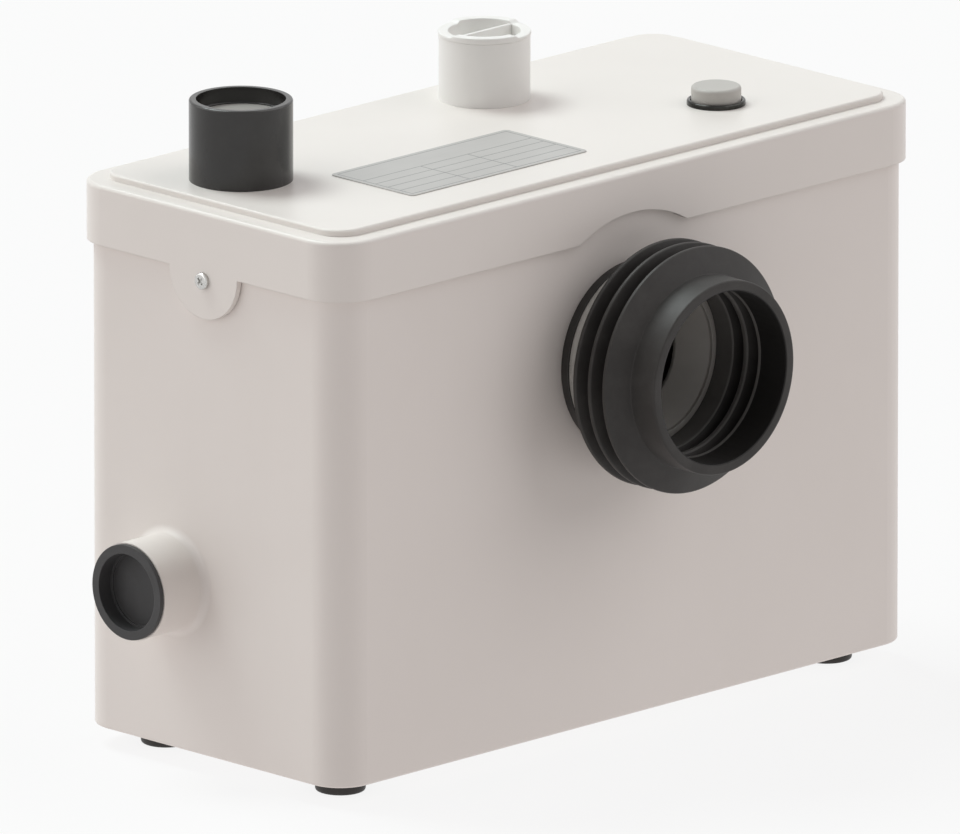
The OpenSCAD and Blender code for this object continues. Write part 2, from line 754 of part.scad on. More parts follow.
// Half section of the pan sleeve: radius across, distance from the tank wall up
module sleeve_section() {
  tip = fold_wall / 2;
  outer = [for (i = [0 : 2]) let (p = fin_start + i * fin_pitch)
    each [[fin_r - tip / 2, p - tip], [fin_r, p - tip / 2],
      [fin_r, p + tip / 2], [fin_r - tip / 2, p + tip],
      if (i < 2) [valley_r, p + fin_pitch / 2 - tip / 2],
      if (i < 2) [valley_r, p + fin_pitch / 2 + tip / 2]]];
  inner = [for (i = [2 : -1 : 1]) let (p = fin_start + i * fin_pitch)
    each [[fin_r - fold_wall, p], [ridge_r, p - fin_pitch / 2]]];
  bead_r = sleeve_r + end_bead_h;
  polygon(concat(
    [[sleeve_in_r, 0], [bead_r, 0], [bead_r, clamp_start - push_gap], [sleeve_r, clamp_start - push_gap],
      [sleeve_r, fold_start], [valley_r, fold_start + fold_wall / 2]],
    outer,
    [[mouth_r + mouth_wall, sleeve_l - mouth_l], [mouth_r + mouth_wall, sleeve_l - mouth_edge],
      [mouth_r + mouth_wall - mouth_edge, sleeve_l], [mouth_r, sleeve_l],
      [mouth_r, sleeve_l - mouth_l]],
    inner,
    [[sleeve_in_r, fold_start + fold_wall / 2]]));
}
module pan_sleeve() { place() color("dimgray") on_front() rotate_extrude() sleeve_section(); }

module sleeve_clamp() {
  place() color("silver") on_front() translate([0, 0, clamp_start])
    ring(sleeve_r + push_gap + clamp_t, sleeve_r + push_gap, clamp_w);
}

module clamp_screw() {
  band_r = sleeve_r + 2 * push_gap + clamp_t;
  place() color("lightgray") on_front() rotate([0, 0, clamp_turn])
    translate([band_r + clamp_block_h / 2, 0, clamp_start + clamp_w / 2]) {
      cube([clamp_block_h, clamp_block_l, clamp_w], center = true);
      rotate([90, 0, 0]) difference() {
        cylinder(h = clamp_screw_l, r = clamp_screw_r, center = true);
        translate([0, 0, clamp_screw_l / 2])
          cube([clamp_block_h, screw_slot, 2 * screw_slot], center = true);
      }
    }
}

// Moulded funnel with a lip over the collar's end, a bead round it and a skirt inside the collar
module splash_ring() {
  cup_r = collar_r - collar_wall - push_gap;
  in_r = cup_r - baffle_wall;
  lip_p = collar_l + baffle_wall / 2;
  place() color("darkgray") on_front() rotate_extrude() polygon([
    [throat_r, throat_out], [in_r, lip_p], [in_r, lip_p + bead_h], [cup_r, lip_p + bead_h],
    [cup_r, lip_p], [collar_r - push_gap, lip_p], [collar_r - push_gap, collar_l], [cup_r, collar_l],
    [cup_r, -tank_wall], [in_r, -tank_wall], [in_r, lip_p - 1.5 * baffle_wall],
    [throat_r, throat_out - baffle_wall]]);
}

module discharge_socket() {
  place() color("dimgray") at_discharge(panel_z) difference() {
    rotate_extrude() intersection() {
      soft_section(2 * (socket_r + socket_wall), socket_h, socket_edge);
      square([socket_r + socket_wall, socket_h]);
    }
    translate([0, 0, -over]) cylinder(h = socket_h + 2 * over, r = grip_r);
    translate([0, 0, socket_h - plug_depth]) cylinder(h = plug_depth + over, r = socket_r);
  }
}

module discharge_plug() {
  place() color("lightgray") at_discharge(plug_top_z - plug_t) difference() {
    rotate_extrude() intersection() {
      soft_section(2 * (grip_r - slide_gap), plug_t, plug_edge);
      square([grip_r, plug_t]);
    }
    translate([0, 0, -over]) cylinder(h = plug_t / 2 + over, r = grip_r - slide_gap - blank_wall);
  }
}

module side_plug() {
  body_r = side_bore_r - slide_gap;
  place() color("dimgray") on_left() translate([0, 0, side_l]) difference() {
    union() {
      translate([0, 0, slide_gap - plug_rim_t])
        cylinder(h = plug_rim_t - slide_gap, r = side_r - plug_rim);
      translate([0, 0, -plug_rim_t - plug_l]) cylinder(h = plug_l + plug_rim_t, r = body_r);
    }
    translate([0, 0, -recess_depth])
      cylinder(h = recess_depth + over, r = body_r - plug_wall - recess_step);
    translate([0, 0, recess_step - recess_depth]) cylinder(h = recess_depth, r = body_r - plug_wall);
  }
}

module side_flap() {
  place() color("dimgray") on_left() translate([side_pin_up, 0, -side_pin_in])
    rotate([0, 180, 0]) flap(side_flap_r, side_pin_up, flap_t / 2);
}

module side_flap_pin() {
  place() color("silver") on_left() translate([side_pin_up, 0, -side_pin_in]) hinge_pin();
}

module vent_neck() { place() color("white") at_vent(0) ring(neck_r, neck_bore_r, neck_h); }

module vent_cap() {
  recess_r = cap_r - cap_wall;
  flange_top = cap_seat + cap_flange_t;
  place() color("white") at_vent(0) {
    difference() {
      union() {
        translate([0, 0, cap_seat]) cylinder(h = cap_flange_t, r = neck_r + cap_over);
        translate([0, 0, cap_bottom]) cylinder(h = cap_seat - cap_bottom + cap_flange_t, r = cap_r);
        for (a = [180, 0]) rotate([0, 0, a]) rotate_extrude(angle = lip_sweep)
          translate([recess_r, cap_seat])
            square([neck_r + cap_over - recess_r, cap_flange_t + cap_lip_h]);
      }
      translate([0, 0, cap_floor]) cylinder(h = cap_recess + cap_lip_h + over, r = recess_r);
      translate([0, 0, cap_bottom + cap_wall])
        ring(cap_r + over, ring_mid_r - seal_ring_r - slide_gap, groove_h);
    }
    translate([-recess_r - cap_wall / 2, -bar_t / 2, cap_floor - cap_wall / 2])
      cube([2 * recess_r + cap_wall, bar_t, flange_top - cap_floor + cap_wall / 2]);
  }
}

module cap_seal_ring() {
  place() color("black") at_vent(ring_mid)
    rotate_extrude() translate([ring_mid_r, 0]) circle(seal_ring_r);
}

module vent_filter() {
  place() color("darkslategray") at_vent(0) cylinder(h = filter_t, r = neck_bore_r - slide_gap);
}

module button_cap() {
  stem_top = button_h - button_roof;
  place() color("silver") at_button(0) {
    difference() {
      translate([0, 0, -button_skirt]) rotate_extrude() intersection() {
        soft_section(2 * button_r, button_h + button_skirt, button_edge_r);
        square([button_r, button_h + button_skirt]);
      }
      translate([0, 0, -button_skirt - over])
        cylinder(h = stem_top + button_skirt + over, r = button_r - button_roof);
    }
    translate([0, 0, stem_end]) cylinder(h = stem_top - stem_end + button_roof / 2, r = stem_r);
  }
}

module button_bezel() {
  width = bezel_r - button_bore_r;
  place() color("gray") at_button(0) rotate_extrude() translate([button_bore_r, 0]) {
    square([width, bezel_h - width / 2]);
    translate([width / 2, bezel_h - width / 2]) circle(width / 2);
  }
}

module button_housing() {
  place() color("dimgray") at_button(-housing_l) difference() {
    cylinder(h = housing_l, r = housing_r);
    translate([0, 0, housing_wall]) cylinder(h = housing_l, r = button_bore_r);
    translate([0, 0, -over]) cylinder(h = housing_l, r = stem_r + slide_gap);
  }
}

module button_nut() {
  place() color("dimgray") at_button(-lid_wall - button_nut_t) difference() {
    hex(2 * (housing_r + nut_land), button_nut_t);
    translate([0, 0, -over]) cylinder(h = button_nut_t + 2 * over, r = housing_r + push_gap);
  }
}

module button_spring() {
  low = housing_wall - housing_l + spring_wire / 2 + slide_gap;
  high = button_h - button_roof - spring_wire / 2 - slide_gap;
  place() color("silver") at_button(low)
    coil((stem_r + button_r - button_roof) / 2, (high - low) / spring_turns, spring_turns,
      spring_wire / 2);
}

module button_switch() {
  stroke = stem_over + button_travel + slide_gap;
  place() color("black") at_button(-housing_l - switch_h) difference() {
    translate([-housing_r, -switch_w / 2, 0]) cube([2 * housing_r, switch_w, switch_h]);
    translate([0, 0, switch_h - stroke]) cylinder(h = stroke + over, r = stem_r + 2 * slide_gap);
  }
}

module rating_plate() {
  place() color("gainsboro") translate([-plate_left, -plate_front, panel_z])
    linear_extrude(plate_t) round_rect(plate_l, plate_w, plate_corner_r);
}

module cable_gland() {
  collar = gland_out / 4;
  thread_l = tank_wall + gland_nut_t + 2 * over;
  place() color("dimgray") on_back() difference() {
    union() {
      translate([0, 0, -thread_l]) cylinder(h = thread_l + over, r = gland_r);
      hex(gland_hex, collar);
      cylinder(h = 3 * collar, r = gland_dome_r);
      translate([0, 0, 3 * collar]) cylinder(h = collar, r1 = gland_dome_r, r2 = gland_r);
    }
    translate([0, 0, -thread_l - over]) cylinder(h = thread_l + gland_out + 2 * over, r = cable_r);
  }
}

module gland_nut() {
  place() color("dimgray") on_back() translate([0, 0, -tank_wall - gland_nut_t]) difference() {
    hex(gland_hex, gland_nut_t);
    translate([0, 0, -over]) cylinder(h = gland_nut_t + 2 * over, r = gland_r + push_gap);
  }
}

module motor_can() { place() color("silver") on_shaft(can_x) ring(can_r, can_r - can_wall, can_l); }

module motor_front_plate() {
  place() color("gray") on_shaft(plate_x) difference() {
    union() {
      cylinder(h = front_plate_t, r = end_plate_r);
      translate([0, 0, -seal_l]) cylinder(h = seal_l + over, r = seal_r + seal_wall);
    }
    translate([0, 0, -seal_l - over])
      cylinder(h = front_plate_t + seal_l + 2 * over, r = shaft_r + slide_gap);
    translate([0, 0, -seal_l - over]) cylinder(h = seal_l + over, r = seal_r + push_gap);
    translate([0, 0, front_plate_t - bearing_w])
      cylinder(h = bearing_w + over, r = bearing_r + run_gap);
    around(4, tie_r, tie_turn) translate([0, 0, front_plate_t / 2])
      cylinder(h = front_plate_t, r = tie_d / 2 + push_gap);
  }
}

module motor_rear_cap() {
  place() color("gray") on_shaft(cap_x) difference() {
    cylinder(h = rear_cap_t, r = end_plate_r);
    translate([0, 0, -over]) cylinder(h = bearing_w + over, r = bearing_r + run_gap);
    around(4, tie_r, tie_turn) translate([0, 0, -over])
      cylinder(h = rear_cap_t + 2 * over, r = tie_d / 2 + push_gap);
  }
}

module motor_bolts() {
  bolt_l = front_plate_t / 2 - slide_gap + can_l + rear_cap_t;
  place() color("silver") on_shaft(cap_x + rear_cap_t) around(4, tie_r, tie_turn) {
    hex(bolt_head_w, bolt_head_h);
    translate([0, 0, -bolt_l]) cylinder(h = bolt_l, r = tie_d / 2);
  }
}

module motor_cradle() {
  place() color("dimgray") difference() {
    translate([motor_mid - cradle_l / 2, -cradle_w / 2, floor_z])
      cube([cradle_l, cradle_w, shaft_h - sqrt(can_r ^ 2 - (cradle_w / 2) ^ 2)]);
    on_shaft(can_x) cylinder(h = can_l, r = can_r + push_gap);
  }
}

module stator_core() {
  place() color("slategray") on_shaft(motor_mid - core_l / 2)
    ring(stator_out_r, rotor_r + air_gap, core_l);
}

module stator_windings() {
  inner = rotor_r + air_gap + winding_step;
  place() color("peru") for (x = [motor_mid - core_l / 2 - winding_l, motor_mid + core_l / 2])
    on_shaft(x) ring(inner + winding_t, inner, winding_l);
}

module rotor_core() {
  place() color("slategray") on_shaft(motor_mid - core_l / 2) ring(rotor_r, bore_r, core_l);
}

module shaft() {
  place() color("silver") on_shaft(shaft_end)
    cylinder(h = cap_x + bearing_w - slide_gap - shaft_end, r = shaft_r);
}

module shaft_bearings() {
  place() color("lightgray") for (x = [can_x - bearing_w, cap_x])
    on_shaft(x) ring(bearing_r, bore_r, bearing_w);
}

module shaft_seal() { place() color("black") on_shaft(plate_x - seal_l) ring(seal_r, bore_r, seal_l); }

// Perforated trough round the cutter, open at the top below the pan inlet
module cutting_basket() {
  open_l = basket_l - 2 * basket_margin;
  row = open_l / (hole_rows - 1);
  place() color("lightgray") on_shaft(basket_x) difference() {
    union() {
      cylinder(h = basket_l, r = basket_r);
      translate([0, 0, basket_l - basket_wall]) cylinder(h = basket_wall, r = can_r);
    }
    translate([0, 0, basket_wall]) cylinder(h = basket_l, r = basket_r - basket_wall);
    translate([0, 0, -over]) cylinder(h = basket_l, r = eye_r);
    translate([-2 * basket_r, -basket_open / 2, basket_margin]) cube([2 * basket_r, basket_open, open_l]);
    for (a = [-hole_spread : hole_turn : hole_spread], i = [0 : hole_rows - 1])
      rotate([0, 0, a]) translate([basket_r - 2 * basket_wall, 0, basket_margin + i * row])
        rotate([0, 90, 0]) cylinder(h = 3 * basket_wall, r = basket_hole_r);
  }
}

module cutter_blade() {
  place() color("silver") on_shaft(blade_x) difference() {
    union() {
      cylinder(h = blade_w, r = shaft_r + blade_t);
      translate([-blade_reach, -blade_t / 2, 0]) cube([2 * blade_reach, blade_t, blade_w]);
      for (s = [0, 180]) rotate([0, 0, s]) translate([blade_reach - 2 * blade_t, -blade_t, 0])
        cube([2 * blade_t, 2 * blade_t, blade_w / 2]);
    }
    translate([0, 0, -over]) cylinder(h = blade_w + 2 * over, r = bore_r);
  }
}

module pump_casing() {
  block_h = shaft_h - casing_r - casing_wall / 2;
  place() color("lightgray") difference() {
    union() {
      on_shaft(casing_x - casing_wall) cylinder(h = casing_l + casing_wall, r = casing_out_r);
      on_shaft(cover_x - flange_w) cylinder(h = flange_w, r = flange_r);
      translate([outlet_x, discharge_back, shaft_z]) cylinder(h = outlet_z - shaft_z, r = pipe_out_r);
      translate([outlet_x - casing_foot_l / 2, -casing_foot_w / 2, floor_z])
        cube([casing_foot_l, casing_foot_w, block_h]);
    }
    on_shaft(casing_x) cylinder(h = casing_l + over, r = casing_r);
    translate([outlet_x, discharge_back, shaft_z]) cylinder(h = outlet_z, r = pipe_r);
    on_shaft(cover_x - flange_w - over) around(4, casing_out_r + flange_w / 2, screw_turn)
      cylinder(h = flange_w + 2 * over, r = tie_d / 2 + run_gap);
  }
}

module pump_cover() {
  place() color("gray") on_shaft(cover_x) difference() {
    cylinder(h = cover_t, r = flange_r);
    translate([0, 0, -over]) cylinder(h = cover_t + 2 * over, r = eye_r);
    around(4, casing_out_r + flange_w / 2, screw_turn) translate([0, 0, -over])
      cylinder(h = cover_t + 2 * over, r = tie_d / 2 + run_gap);
  }
}

module pump_screws() {
  screw_l = cover_t + flange_w;
  place() color("silver") on_shaft(cover_x - flange_w) around(4, casing_out_r + flange_w / 2, screw_turn) {
    cylinder(h = screw_l, r = tie_d / 2);
    translate([0, 0, -bolt_head_h]) rotate([0, 0, 30]) hex(bolt_head_w, bolt_head_h);
  }
}

module impeller() {
  place() color("darkgray") on_shaft(shroud_x) difference() {
    union() {
      cylinder(h = vane_t, r = impeller_r);
      cylinder(h = vane_t + vane_w, r = shaft_r + hub_wall);
      around(vane_count, shaft_r) rotate([0, 0, vane_lean]) translate([0, -vane_t / 2, 0])
        intersection() {
          cube([impeller_r - shaft_r, vane_t, vane_t + vane_w]);
          cylinder(h = 2 * vane_w, r = impeller_r - shaft_r);
        }
    }
    translate([0, 0, -over]) cylinder(h = vane_w + vane_t + 2 * over, r = bore_r);
  }
}

module impeller_nut() {
  place() color("silver") on_shaft(shroud_x - impeller_nut_t) difference() {
    hex(impeller_nut_w, impeller_nut_t);
    translate([0, 0, -over]) cylinder(h = impeller_nut_t + 2 * over, r = bore_r);
  }
}

module discharge_pipe() {
  place() color("lightgray") difference() {
    union() {
      pipe_run(pipe_out_r);
      translate([outlet_x, discharge_back, outlet_z - joint_l])
        cylinder(h = joint_l + pipe_wall, r = pipe_out_r + push_gap + pipe_wall);
    }
    pipe_run(pipe_r);
    translate([outlet_x, discharge_back, outlet_z - joint_l - over])
      cylinder(h = joint_l + over, r = pipe_out_r + push_gap);
  }
}

module valve_body() {
  place() color("lightgray") difference() {
    union() {
      at_discharge(valve_socket_z)
        cylinder(h = joint_l + over, r = pipe_out_r + push_gap + pipe_wall);
      at_discharge(valve_z) difference() {
        cylinder(h = chamber_h + 2 * pipe_wall, r = chamber_r + pipe_wall);
        translate([0, 0, pipe_wall]) cylinder(h = chamber_h, r = chamber_r);
      }
      at_discharge(chamber_top_z) cylinder(h = spigot_top_z - chamber_top_z, r = spigot_r);
      translate([flap_pin_x, discharge_back, flap_pin_z]) ears(flap_pin_z - seat_z + pipe_wall / 2);
    }
    at_discharge(valve_socket_z - over) cylinder(h = joint_l + over, r = pipe_out_r + push_gap);
    at_discharge(valve_socket_z) cylinder(h = joint_l + chamber_h / 2, r = seat_r);
    at_discharge(chamber_top_z - over) cylinder(h = spigot_top_z, r = spigot_r - pipe_wall);
  }
}

module valve_flap() {
  place() color("dimgray") translate([flap_pin_x, discharge_back, flap_pin_z])
    flap(flap_r, discharge_x - flap_pin_x, hinge_r);
}

module valve_flap_pin() {
  place() color("silver") translate([flap_pin_x, discharge_back, flap_pin_z]) hinge_pin();
}

module level_tube() {
  place() color("lightgray") difference() {
    union() {
      at_level(floor_z) cylinder(h = level_h + level_wall / 2, r = level_r);
      at_level(bell_z) cylinder(h = level_wall + bell_h, r = bell_r);
    }
    at_level(floor_z - over) cylinder(h = level_h + level_wall + 2 * over, r = level_r - level_wall);
    at_level(bell_z + level_wall) cylinder(h = bell_h + over, r = bell_r - level_wall);
    at_level(floor_z) for (a = [0, 90]) rotate([0, 0, a])
      cube([3 * level_r, level_r, 2 * level_notch], center = true);
  }
}

module diaphragm() { place() color("black") at_level(diaphragm_z) cylinder(h = diaphragm_t, r = bell_r); }

module diaphragm_cover() {
  place() color("lightgray") at_level(switch_cover_z) difference() {
    cylinder(h = switch_cover_h, r = bell_r);
    translate([0, 0, -over]) cylinder(h = switch_cover_h + over - level_wall, r = bell_r - level_wall);
    cylinder(h = switch_cover_h + over, r = plunger_r + 2 * run_gap);
  }
}

module switch_plunger() {
  place() color("whitesmoke") at_level(switch_cover_z + slide_gap) {
    cylinder(h = level_wall, r = bell_r / 2);
    cylinder(h = switch_cover_h + plunger_over, r = plunger_r);
  }
}

module micro_switch() {
  stroke = plunger_over + plunger_travel + 2 * slide_gap;
  place() color("black") at_level(switch_z) difference() {
    translate([-bell_r / 2, -switch_w / 2, 0]) cube([bell_r, switch_w, switch_h]);
    translate([0, 0, -over]) cylinder(h = stroke + over, r = plunger_r + 2 * slide_gap);
  }
}

module control_box() {
  place() color("gray") difference() {
    union() {
      translate([motor_mid - box_l / 2, -box_w / 2, box_z]) difference() {
        cube([box_l, box_w, box_h]);
        translate([box_wall, box_wall, box_wall])
          cube([box_l - 2 * box_wall, box_w - 2 * box_wall, box_h]);
      }
      for (y = [-box_w / 2, box_w / 2 - rail_w]) translate([motor_mid - box_l / 2, y, rail_z])
        cube([box_l, rail_w, box_floor_z - rail_z]);
      for (x = [peg_r, board_l - peg_r], y = [peg_r, board_w - peg_r])
        translate([motor_mid - board_l / 2 + x, board_y + y, box_z])
          cylinder(h = box_wall + board_lift, r = peg_r);
    }
    on_shaft(can_x) cylinder(h = can_l, r = can_r + push_gap);
  }
}

module control_box_lid() {
  plug_in = box_wall + push_gap;
  place() color("darkgray") translate([motor_mid, 0, box_z + box_h]) {
    translate([-box_l / 2, -box_w / 2, 0]) cube([box_l, box_w, box_lid_t]);
    translate([0, 0, -box_lid_t]) linear_extrude(box_lid_t) difference() {
      square([box_l - 2 * plug_in, box_w - 2 * plug_in], center = true);
      square([box_l - 2 * (plug_in + lid_rib), box_w - 2 * (plug_in + lid_rib)], center = true);
    }
  }
}

module circuit_board() {
  place() color("seagreen") translate([motor_mid - board_l / 2, board_y, board_z]) {
    cube([board_l, board_w, board_t]);
    translate([relay_l / 4, board_w / 4, 0]) cube([relay_l, board_w / 2, board_t + relay_h]);
    translate([board_l - terminal_l - peg_r, board_w / 4, 0])
      cube([terminal_l, board_w / 2, board_t + terminal_h]);
  }
}

module capacitor() {
  place() color("silver")
    translate([motor_mid - capacitor_l / 2, capacitor_y, box_floor_z + capacitor_r + push_gap])
    rotate([0, 90, 0]) {
      cylinder(h = capacitor_l, r = capacitor_r);
      for (s = [-1, 1]) translate([0, s * capacitor_r / 3, capacitor_l]) cylinder(h = tag_l, r = tag_r);
    }
}

tank();
pan_collar();
side_spigot();
rubber_feet();
lid();
lid_gasket();
lid_screws();
pan_sleeve();
sleeve_clamp();
clamp_screw();
splash_ring();
discharge_socket();
discharge_plug();
side_plug();
side_flap();
side_flap_pin();
vent_neck();
vent_cap();
cap_seal_ring();
vent_filter();
button_cap();
button_bezel();
button_housing();
button_nut();
button_spring();
button_switch();
rating_plate();
cable_gland();
gland_nut();
motor_can();
motor_front_plate();
motor_rear_cap();
motor_bolts();
motor_cradle();
stator_core();
stator_windings();
rotor_core();
shaft();
shaft_bearings();
shaft_seal();
cutting_basket();
cutter_blade();
pump_casing();
pump_cover();
pump_screws();
impeller();
impeller_nut();
discharge_pipe();
valve_body();
valve_flap();
valve_flap_pin();
level_tube();
diaphragm();
diaphragm_cover();
switch_plunger();
micro_switch();
control_box();
control_box_lid();
circuit_board();
capacitor();
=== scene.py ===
import math

import bmesh
import bpy
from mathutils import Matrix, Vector, noise as lumps


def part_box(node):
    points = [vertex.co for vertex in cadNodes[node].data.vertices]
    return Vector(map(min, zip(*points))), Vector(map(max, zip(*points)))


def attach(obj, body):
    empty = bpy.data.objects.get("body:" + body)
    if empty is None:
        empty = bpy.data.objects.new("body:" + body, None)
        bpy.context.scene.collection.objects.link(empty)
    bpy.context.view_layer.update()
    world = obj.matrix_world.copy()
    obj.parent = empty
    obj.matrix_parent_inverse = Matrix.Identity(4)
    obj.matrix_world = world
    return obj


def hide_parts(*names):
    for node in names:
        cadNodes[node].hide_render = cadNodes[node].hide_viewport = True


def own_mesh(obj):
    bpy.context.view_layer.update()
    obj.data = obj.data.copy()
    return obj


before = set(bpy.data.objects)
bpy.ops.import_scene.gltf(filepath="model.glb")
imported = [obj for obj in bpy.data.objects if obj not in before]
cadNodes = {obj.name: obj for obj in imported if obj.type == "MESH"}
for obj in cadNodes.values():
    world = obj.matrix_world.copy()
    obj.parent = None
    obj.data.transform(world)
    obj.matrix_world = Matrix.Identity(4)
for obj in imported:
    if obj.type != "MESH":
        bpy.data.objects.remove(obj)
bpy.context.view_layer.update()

mm = 0.001
print("frame loaded,", len(cadNodes), "solids")


class Wire:
    # one output socket; sums, products and comparisons on it add Math nodes
    def __init__(self, tree, socket):
        self.tree, self.socket = tree, socket

    @classmethod
    def add(cls, tree, kind, settings, sockets, out=0):
        made = tree.nodes.new("ShaderNode" + kind)
        for key, value in settings.items():
            if key == "stops":
                for spare in range(len(value) - len(made.color_ramp.elements)):
                    made.color_ramp.elements.new(1)
                for stop, (place, tone) in zip(made.color_ramp.elements, value):
                    stop.position, stop.color = place, (tone, tone, tone, 1)
            else:
                setattr(made, key, value)
        for key, value in sockets.items():
            plug(tree, made.inputs[key], value)
        return cls(tree, made.outputs[out]) if made.outputs else None

    def maths(self, operation, a, b):
        return Wire.add(self.tree, "Math", {"operation": operation}, {0: a, 1: b})

    def __add__(self, other):
        return self.maths("ADD", self, other)

    __radd__ = __add__

    def __mul__(self, other):
        return self.maths("MULTIPLY", self, other)

    __rmul__ = __mul__

    def __sub__(self, other):
        return self.maths("SUBTRACT", self, other)

    def __rsub__(self, other):
        return self.maths("SUBTRACT", other, self)

    def __gt__(self, other):
        return self.maths("GREATER_THAN", self, other)

    def __lt__(self, other):
        return self.maths("LESS_THAN", self, other)


def plug(tree, socket, value):
    if isinstance(value, Wire):
        tree.links.new(value.socket, socket)
    else:
        socket.default_value = value


def rgb(colour):
    return (*colour, 1)


def blendColours(tree, share, first, second):
    return Wire.add(tree, "Mix", {"data_type": "RGBA"}, {0: share, 6: first, 7: second}, 2)


def larger(a, b):
    return a.maths("MAXIMUM", a, b)


def objectSpace(tree, stretch=(1, 1, 1)):
    place = Wire.add(tree, "TexCoord", {}, {}, "Object")
    return Wire.add(tree, "VectorMath", {"operation": "MULTIPLY"}, {0: place, 1: stretch})


def grainOf(tree, place, scale, detail=3, rough=0.5):
    return Wire.add(tree, "TexNoise", {}, {"Vector": place, "Scale": scale, "Detail": detail,
                                           "Roughness": rough})


# ramp stops that spread the middle of a noise over 0 to 1
midRange = ((0.3, 0.0), (0.7, 1.0))


def ramp(tree, value, *stops):
    return Wire.add(tree, "ValToRGB", {"stops": stops}, {0: value})


def axisOf(tree, place, axis):
    return Wire.add(tree, "SeparateXYZ", {}, {0: place}, axis)


def roundedNormal(tree, size):
    return Wire.add(tree, "Bevel", {"samples": 6}, {"Radius": size})


def edgeShare(tree, size):
    # 0 on open faces, towards 1 along the edges
    flat = Wire.add(tree, "NewGeometry", {}, {}, "Normal")
    alike = Wire.add(tree, "VectorMath", {"operation": "DOT_PRODUCT"},
                     {0: roundedNormal(tree, size), 1: flat}, "Value")
    return ramp(tree, 1 - alike, (0.0, 0.0), (0.22, 1.0))


def relief(tree, height, depth, strength=1.0, edge=0.0):
    sockets = {"Height": height, "Distance": depth, "Strength": strength}
    if edge:
        sockets["Normal"] = roundedNormal(tree, edge)
    return Wire.add(tree, "Bump", {}, sockets)


def newFinish(name, fixed):
    # constant values sit on the shader's own sockets
    material = bpy.data.materials.new(name)
    material.use_nodes = True
    tree = material.node_tree
    surface = tree.nodes["Principled BSDF"]
    for key, value in fixed.items():
        surface.inputs[key].default_value = value
    return material, tree, surface


socketNames = {"colour": "Base Color", "rough": "Roughness", "metal": "Metallic", "normal": "Normal"}


def dress(surface, tree, **sockets):
    for key, value in sockets.items():
        plug(tree, surface.inputs[socketNames[key]], value)


